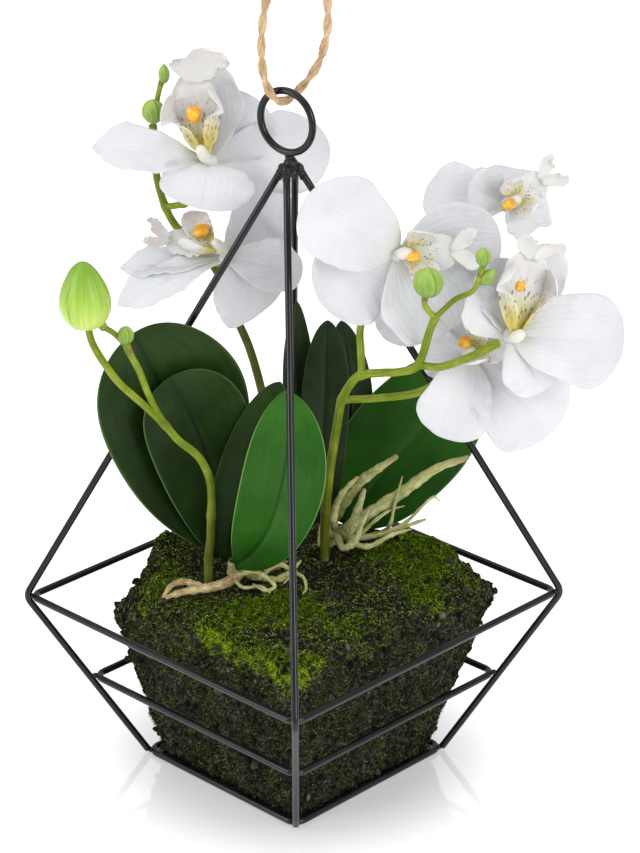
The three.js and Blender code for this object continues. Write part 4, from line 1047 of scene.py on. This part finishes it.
# %% Building the crowns and roots
CROWNS = {"left": ([-24, -4], 5, 97), "right": ([15, -32], 5, 100)}
ROOTS = {
    "left": [
        ([[-22, -3, 92], [-22, 3, 90.5], [-25, 9, 89], [-32, 14, 88], [-40, 18, 88.4], [-47, 21, 88.6],
          [-53, 24, 88]], 2.3),
        ([[-40, 16, 89], [-46, 17, 91.5], [-51, 20, 91.5], [-54.5, 24.5, 88.5]], 1.5),
        ([[-23, -3, 89], [-19, 5, 88.5], [-13, 10, 89.4], [-5, 13, 90.4], [1, 11, 93]], 1.6),
        ([[-22, -4, 89], [-14, -4, 89.5], [-8, 4, 91], [-3, 8, 96]], 1.5),
        ([[-24, 9, 90], [-17, 12, 93.5], [-12, 14, 92], [-8, 16, 88.5], [-12, 19, 88], [-17, 17, 90]], 1.0),
        ([[-14, 11, 90], [-10, 12, 95], [-5, 12, 96.5], [-1, 13, 93], [-4, 16, 90]], 1.1),
        ([[-6, 13, 91], [-1, 15, 95], [3, 14, 99.5]], 1.0),
        ([[0, 12, 93], [4, 15, 92], [5, 18, 88], [2, 20, 85.5]], 0.7),
        ([[-25, 11, 89], [-21, 16, 88], [-14, 17, 89], [-10, 21, 88]], 0.8)],
    "right": [
        ([[15, -32, 92], [21, -24, 94], [32, -17, 106], [45, -13, 117], [60, -10, 130], [73, -8, 136]],
          2.9),
        ([[16, -32, 95], [22.5, -22, 111], [28, -14, 122], [34, -8, 130], [43, -5, 138]], 2.6),
        ([[17, -31, 92], [23, -20, 96], [27, -14, 108], [30, -11, 120]], 2.3),
        ([[17, -31, 91], [24, -18, 94], [38, -12, 99], [56, -13, 105]], 1.5),
        ([[17, -30, 91], [28, -20, 94], [40, -15, 100], [43, -10, 114], [46, -9, 127]], 0.9),
        ([[18, -26, 95], [17, -14, 106], [20, -10, 118], [27, -9, 127]], 1.7),
        ([[19, -20, 94], [21, -10, 93.5], [26, -8, 97], [29, -8, 105], [32, -9, 112]], 1.4),
        ([[24, -12, 95], [32, -8, 95], [42, -9, 100], [50, -10, 102]], 1.2),
        ([[40, -12, 100], [48, -9, 106], [54, -8, 113], [59, -8, 118], [62, -8, 116]], 0.7),
        ([[28, -16, 96], [34, -13, 104], [41, -12, 110], [47, -12, 112]], 0.8)]}


CROWN_FOOT = 74
DRIED = {"left": 2, "right": 0}


def wandering_root(path, radius, dried):
    line = spline(path, 60)
    share = np.linspace(0, 1, len(line))
    bumps = np.array([ripple(p, 0.35) for p in line])
    knuckles = np.sin(share * 17 + radius * 5) ** 8
    thickness = radius * (1.05 - 0.65 * share ** 2) * (1 + 0.25 * bumps + 0.16 * knuckles)
    return rod(*round_ends(line, thickness), 14, kind=dried)


for name, (place, radius, high) in CROWNS.items():
    share = np.linspace(0, 1, 18)
    shaft = np.array([at(*place, CROWN_FOOT + (high - CROWN_FOOT) * s) for s in share])
    thickness = radius * (1 - 0.45 * share ** 2) * (1 + 0.03 * np.sin(share * 40))
    crown = Shape().add(rod(*round_ends(shaft, thickness), 20))
    for number, (path, thickness) in enumerate(ROOTS[name]):
        crown.add(wandering_root(places(path), thickness, float(number < DRIED[name])))
    crown.piece(f"root_crown_{name}", [root_skin], "root", f"crown_{name}")
print("crowns:", len(CROWNS))

# %% [markdown]
# ## The soil block
# Peat and chopped moss were pressed into the basket's shape. The block is the solid's tapered shape again,
# with many more points, each pushed in or out by noise of three sizes: lumps, crumbs and grit. The patches
# between the points are kept with their areas and their ways out, so crumbs and moss can be set on them.

# %% The soil's finish
peat = Finish("peat", Roughness=1.0, Specular_IOR_Level=0.05)
grit = peat.mottle(620.0, 6.0, 0.7)
clump = peat.mottle(70.0, 4.0)
peat.set(Base_Color=peat.ramp(grit * 0.8 + clump * 0.2, (0.38, (0.003, 0.003, 0.002)),
                              (0.50, (0.017, 0.017, 0.012)), (0.58, (0.060, 0.060, 0.040)),
                              (0.70, (0.20, 0.19, 0.14))))
peat.bump(grit + clump * 0.5, 0.0018, 0.8)

# %% The block's surface
SOIL_TOP, SOIL_FOOT = 56, 41.6
SOIL_TOP_UP, SOIL_FOOT_UP = 82, 1.3
OVERHANG, CORNER_SHARE = 9.0, 1.41
CELLS, LAYERS = 110, 56
# Each is across, toward, spread and rise.
HUMPS = [(-50, -22, 13, 8), (48, -24, 17, 9), (-2, 2, 30, 3), (-79, 0, 13, -11), (82, 0, 12, -4)]
CUSHIONS = [(56, -15, 9, 3.0), (54, 2, 8, 2.0), (38, -13, 6, 2.0), (-19, 28, 8, 2.2), (-2, 22, 7, 2.4),
            (0, 36, 7, 1.6), (56, 17, 6, 1.5), (85, -3, 5, 4.5), (-58, -21, 5.5, 8.0), (-30, 50, 7, 1.5)]


def swelling(across, toward, rows):
    return sum(rise * math.exp(-((across - a) ** 2 + (toward - t) ** 2) / (2 * spread ** 2))
               for a, t, spread, rise in rows)


def ease(value, low, high):
    share = min(1.0, max(0.0, (value - low) / (high - low)))
    return share * share * (3 - 2 * share)


def on_block(x, y, share=0.0):
    """A place on the block. x and y run from -1 to 1 over the top, share from 0 to 1 down a side."""
    half = SOIL_TOP + (SOIL_FOOT - SOIL_TOP) * share
    across, toward = (x + y) * half * DIAGONAL, (x - y) * half * DIAGONAL
    up = SOIL_TOP_UP + swelling(across, toward, HUMPS)
    up += swelling(across, toward, CUSHIONS) * (1 - share) ** 8
    rim = ease(max(abs(x), abs(y)), 0.93, 1.0)
    corner = ease(min(abs(x), abs(y)), 0.9, 1.0)
    spot = np.array([x * half, y * half, up + (SOIL_FOOT_UP - up) * share])
    out = np.array([math.copysign(1.0, x) if abs(x) >= abs(y) else 0.0,
                    math.copysign(1.0, y) if abs(y) >= abs(x) else 0.0, 0.0])
    side = 1 - ease(share, 0.0, 0.05) if rim == 1.0 else 1.0
    way = unit(out * rim + np.array([0, 0, 1.0]) * side)
    lumps = ripple(spot, 0.13) * 1.5 + ripple(spot, 0.38) * 1.3
    grits = ripple(spot, 1.1) * 0.9
    overhang = at(1, 0, 0) * (OVERHANG * ease(across / (half * CORNER_SHARE), 0.5, 1.0) * (1 - share))
    return spot + overhang + way * (lumps + grits - 0.4 - 1.0 * rim * side - 1.2 * corner * rim)


def block(cells, layers):
    points, marks = [], []
    grid = np.linspace(-1, 1, cells + 1)
    for x in grid:
        for y in grid:
            points.append(on_block(x, y))
            marks.append([x, y, 0])
    faces = mesh_grid(cells + 1, cells + 1)
    rim = [(i, 0) for i in range(cells)] + [(cells, i) for i in range(cells)]
    rim += [(i, cells) for i in range(cells, 0, -1)] + [(0, i) for i in range(cells, 0, -1)]
    rows = [[i * (cells + 1) + j for i, j in rim]]
    for layer in range(1, layers + 1):
        rows.append([len(points) + k for k in range(len(rim))])
        for i, j in rim:
            points.append(on_block(grid[i], grid[j], layer / layers))
            marks.append([grid[i], grid[j], layer / layers])
    for above, below in zip(rows, rows[1:]):
        for k in range(len(rim)):
            m = (k + 1) % len(rim)
            faces.append([above[m], above[k], below[k], below[m]])
    faces.append(rows[-1][::-1])
    return outward(np.array(points), np.array(marks), faces)


block_part = block(CELLS, LAYERS)
soil = Shape().add(block_part)
corners = block_part[0][np.array(block_part[2][:-1])]
patch_middle = corners.mean(axis=1)
patch_way = np.cross(corners[:, 2] - corners[:, 0], corners[:, 3] - corners[:, 1])
patch_area = np.linalg.norm(patch_way, axis=1) / 2
patch_way /= 2 * patch_area[:, None]
patch_on_top = np.arange(len(corners)) < CELLS ** 2
print("block points:", soil.count)

# %% [markdown]
# ## Crumbs
# Loose crumbs of peat and bark lie on the block. Each is a little ball with its points pushed about, set on
# a random patch of the block. Each crumb's mark carries one random number, which makes some paler.

# %% Crumbs
crumb_finish = Finish("crumbs", Roughness=1.0, Specular_IOR_Level=0.2)
crumb_grain = crumb_finish.mottle(600.0, 4.0)
crumb_finish.set(Base_Color=crumb_finish.ramp(crumb_finish.mark(2) * 0.8 + crumb_grain * 0.2,
                                              (0.10, (0.003, 0.003, 0.003)), (0.55, (0.011, 0.010, 0.008)),
                                              (0.82, (0.045, 0.038, 0.026)), (0.97, (0.22, 0.19, 0.13))))
crumb_finish.bump(crumb_grain, 0.0012, 0.8)


def scatter(chance, count, weight):
    """Random places on the block and the ways out of it, more where the weight is larger."""
    share = patch_area * weight
    picks = chance.choice(len(corners), count, p=share / share.sum())
    u, v = chance.random((2, count, 1))
    a, b, c, d = (corners[picks, k] for k in range(4))
    return (1 - u) * ((1 - v) * a + v * d) + u * ((1 - v) * b + v * c), patch_way[picks], picks


CRUMBS = 2300
CRUMBLED_CORNER, CORNER_SPREAD = at(86, -1, 79), 5.0
RIM_UP, RIM_SPREAD = 80, 3.5
chance = np.random.default_rng(11)
to_corner = ((patch_middle - CRUMBLED_CORNER) ** 2).sum(axis=1)
right_corner = np.exp(-to_corner / (2 * CORNER_SPREAD ** 2))
rim_line = np.exp(-((patch_middle[:, 2] - RIM_UP) / RIM_SPREAD) ** 2) * (~patch_on_top)
spots, ways, _ = scatter(chance, CRUMBS, 0.7 + 0.5 * patch_on_top + 9 * right_corner + 1.2 * rim_line)
for number, (spot, way) in enumerate(zip(spots, ways)):
    radius = 0.4 + 1.5 * chance.random() ** 3
    crumb = ball(spot + way * radius * 0.3, radius, way + chance.uniform(-1, 1, 3),
                 chance.uniform(0.5, 1.3), rings=4, sides=5, kind=chance.random())
    soil.add(knobbly(crumb, radius * 0.6, 0.9 / radius, number), 1)
soil.piece("peat_block", [peat, crumb_finish], "soil", "soil_block")
print("block and crumbs:", len(soil.faces), "faces")

# %% [markdown]
# ## Moss
# Moss is thousands of short pointed shoots. They could be hair, but hair does not leave Blender as a mesh, so
# each shoot is a thin three-sided spike of its own. A list of tufts says where the moss is dense and bright.
# Elsewhere it is sparse, short and dull, and lies flatter on the block.

# %% The moss's finish
moss_green = Finish("moss", Roughness=0.9, Specular_IOR_Level=0.05)
shoot_along, shoot_luck, shoot_kind = moss_green.mark(0), moss_green.mark(1), moss_green.mark(2)
dull_moss = moss_green.ramp(shoot_luck, (0.15, (0.006, 0.009, 0.004)), (0.50, (0.034, 0.050, 0.008)),
                            (0.78, (0.140, 0.175, 0.026)), (0.97, (0.56, 0.54, 0.24)))
bright_moss = moss_green.ramp(shoot_luck * 0.6 + shoot_along * 0.4, (0.20, (0.024, 0.050, 0.002)),
                              (0.50, (0.165, 0.290, 0.006)), (0.80, (0.62, 0.82, 0.040)))
moss_green.set(Base_Color=moss_green.blend(shoot_kind, dull_moss, bright_moss))
moss_green.bump(moss_green.mottle(900.0, 2.0), 0.0003, 0.4)

# %% Growing the moss
TOP_SHOOTS, SIDE_SHOOTS = 62000, 44000
THIRDS = (0, 2.094, 4.189)
# Each is across, toward, up, spread and strength.
TUFTS = [
    (-20, 30, 84, 7, 1.3), (-2, 20, 87, 6, 1.2), (0, 32, 85, 7, 1.2), (56, -17, 88, 9, 1.3),
    (52, -2, 86, 8, 1.2), (38, -13, 88, 6, 0.8), (56, 17, 83, 6, 0.8), (74, 2, 80, 5, 0.5),
    (-58, -2, 82, 7, 0.45), (-37, 42, 81, 5, 0.7), (-28, 50, 81, 5, 0.6), (-18, 60, 81, 5, 0.6),
    (-5, 69, 81, 7, 0.8), (0, 76, 78, 5, 0.7), (9, 69, 81, 4, 0.5), (-12, 46, 84, 6, 0.2),
    (-50, -15, 90, 9, 0.35), (20, 40, 83, 10, 0.45), (30, 14, 84, 7, 0.3), (-40, 22, 83, 8, 0.35),
    (-60, 12, 80, 8, 0.35), (-30, 62, 70, 10, 0.22), (40, 40, 76, 10, 0.12), (-45, 30, 60, 14, 0.12)]
centres = places([tuft[:3] for tuft in TUFTS])
spread, strength = np.array([tuft[3:] for tuft in TUFTS], float).T
apart = ((patch_middle[:, None, :] - centres) ** 2).sum(axis=2)
lushness = np.minimum(1.0, (np.exp(-apart / (2 * spread ** 2)) * strength).sum(axis=1))
lushness *= np.clip(1.15 + 0.9 * np.array([ripple(p, 0.16) for p in patch_middle]), 0, 1)
clumps = np.array([ripple(p, 0.11) + 0.6 * ripple(p, 0.31) for p in patch_middle])
clumps = np.clip(clumps * 1.6 + 0.55, 0.06, 1.3)


def moss_on(name, count, where, shade, seed):
    """Many shoots in one piece. They are longer and stand up straighter where the moss is lush."""
    chance = np.random.default_rng(seed)
    spots, ways, picks = scatter(chance, count, where * (clumps + 2.6 * lushness))
    lush = lushness[picks][:, None]
    stray = chance.normal(size=(count, 3)) * (0.45 + 0.75 * (1 - lush))
    lean = ways + stray
    inward = np.minimum(0, (lean * ways).sum(axis=1, keepdims=True) - 0.15)
    lean = units(lean - ways * inward)
    reach = 0.9 + 1.4 * chance.random((count, 1)) + 1.7 * lush * chance.random((count, 1))
    side = units(np.cross(lean, [0.31, 0.52, 0.79]))
    other = np.cross(lean, side)
    thick = 0.12 + 0.11 * chance.random((count, 1))
    foot = spots - ways * 0.3
    points = [foot + thick * (side * math.cos(a) + other * math.sin(a)) for a in THIRDS]
    points = np.stack([*points, spots + lean * reach], axis=1)
    tone = chance.random(count) * shade
    kind = np.where(chance.random(count) < lush[:, 0] * 1.7 - 0.1, 1.0, 0.25 * lush[:, 0])
    along = np.tile([0.0, 0, 0, 1], (count, 1))
    marks = np.stack([along, np.tile(tone[:, None], 4), np.tile(kind[:, None], 4)], axis=2)
    corner = np.arange(0, 4 * count, 4)[:, None, None]
    faces = (corner + np.array([[0, 1, 3], [1, 2, 3], [2, 0, 3]])).reshape(-1, 3).tolist()
    Shape().add((points, marks, faces)).piece(name, [moss_green], "soil")


moss_on("moss_top", TOP_SHOOTS, patch_on_top.astype(float), 1.0, 21)
moss_on("moss_sides", SIDE_SHOOTS, (~patch_on_top).astype(float), 0.86, 22)
print("moss shoots:", TOP_SHOOTS + SIDE_SHOOTS)

# %% [markdown]
# ## Floor, light and background
# The basket stands on a glossy white table in front of a white wall. The light is soft and comes from above
# and both sides, as under studio panels, so shadows are faint and the wires show long highlights. The table
# glows a little, a painted light that keeps its white clean, and it glows less under the basket than away
# from it, which is a painted shadow round the base.

# %% Floor, lights and world
FLOOR = [(-4, -2.5, 0), (2.5, -2.5, 0), (2.5, 4, 0), (-4, 4, 0)]
PAINTED_SHADOW_FROM, PAINTED_SHADOW_TO = 0.05, 0.25
WORLD_LIGHT = 0.62

table = Finish("white_floor", Roughness=0.07, IOR=2.8, Emission_Strength=0.7)
far = table.node("ShaderNodeVectorMath", {"operation": "LENGTH"}, {0: table.place()}, out="Value")
# The table's glow is painted light that keeps it white. It is dimmer near the basket, which makes a painted
# shadow round its base.
glow_and_painted_shadow = table.ramp(far.fade(PAINTED_SHADOW_FROM, PAINTED_SHADOW_TO), (0.0, (0.40, 0.40, 0.40)), (0.07, (0.68, 0.68, 0.68)),
                  (0.18, (1.0, 1.0, 1.0)))
tint = table.ramp(table.mottle(2.0, 2.0), (0.3, (0.66, 0.66, 0.66)), (0.7, (0.68, 0.68, 0.68)))
table.set(Base_Color=tint, Emission_Color=glow_and_painted_shadow)
floor_mesh = bpy.data.meshes.new("floor")
floor_mesh.from_pydata(FLOOR, [], [(0, 1, 2, 3)])
floor_mesh.materials.append(table.material)
floor = show("floor", floor_mesh)


def lamp(name, place, aim, size, power):
    light = bpy.data.lights.new(name, "AREA")
    light.shape, light.size, light.energy = "SQUARE", size, power
    made = show(name, light)
    made.location = place
    made.rotation_euler = (Vector(aim) - Vector(place)).to_track_quat("-Z", "Y").to_euler()


lamp("top_panel", (-0.1, 0.0, 1.3), (0, 0, 0.1), 1.3, 5)
lamp("left_panel", (-0.6, -1.2, 0.7), (0, 0, 0.15), 0.7, 8.5)
lamp("right_panel", (1.3, -0.1, 0.7), (0, 0, 0.15), 0.7, 8.5)
world = bpy.data.worlds.new("white_room")
world.use_nodes = True
background = world.node_tree.nodes["Background"].inputs
background["Color"].default_value = (0.98, 0.98, 1.0, 1)
background["Strength"].default_value = WORLD_LIGHT
bpy.context.scene.world = world
bpy.context.scene.view_settings.view_transform = "Standard"
print("lights ready")
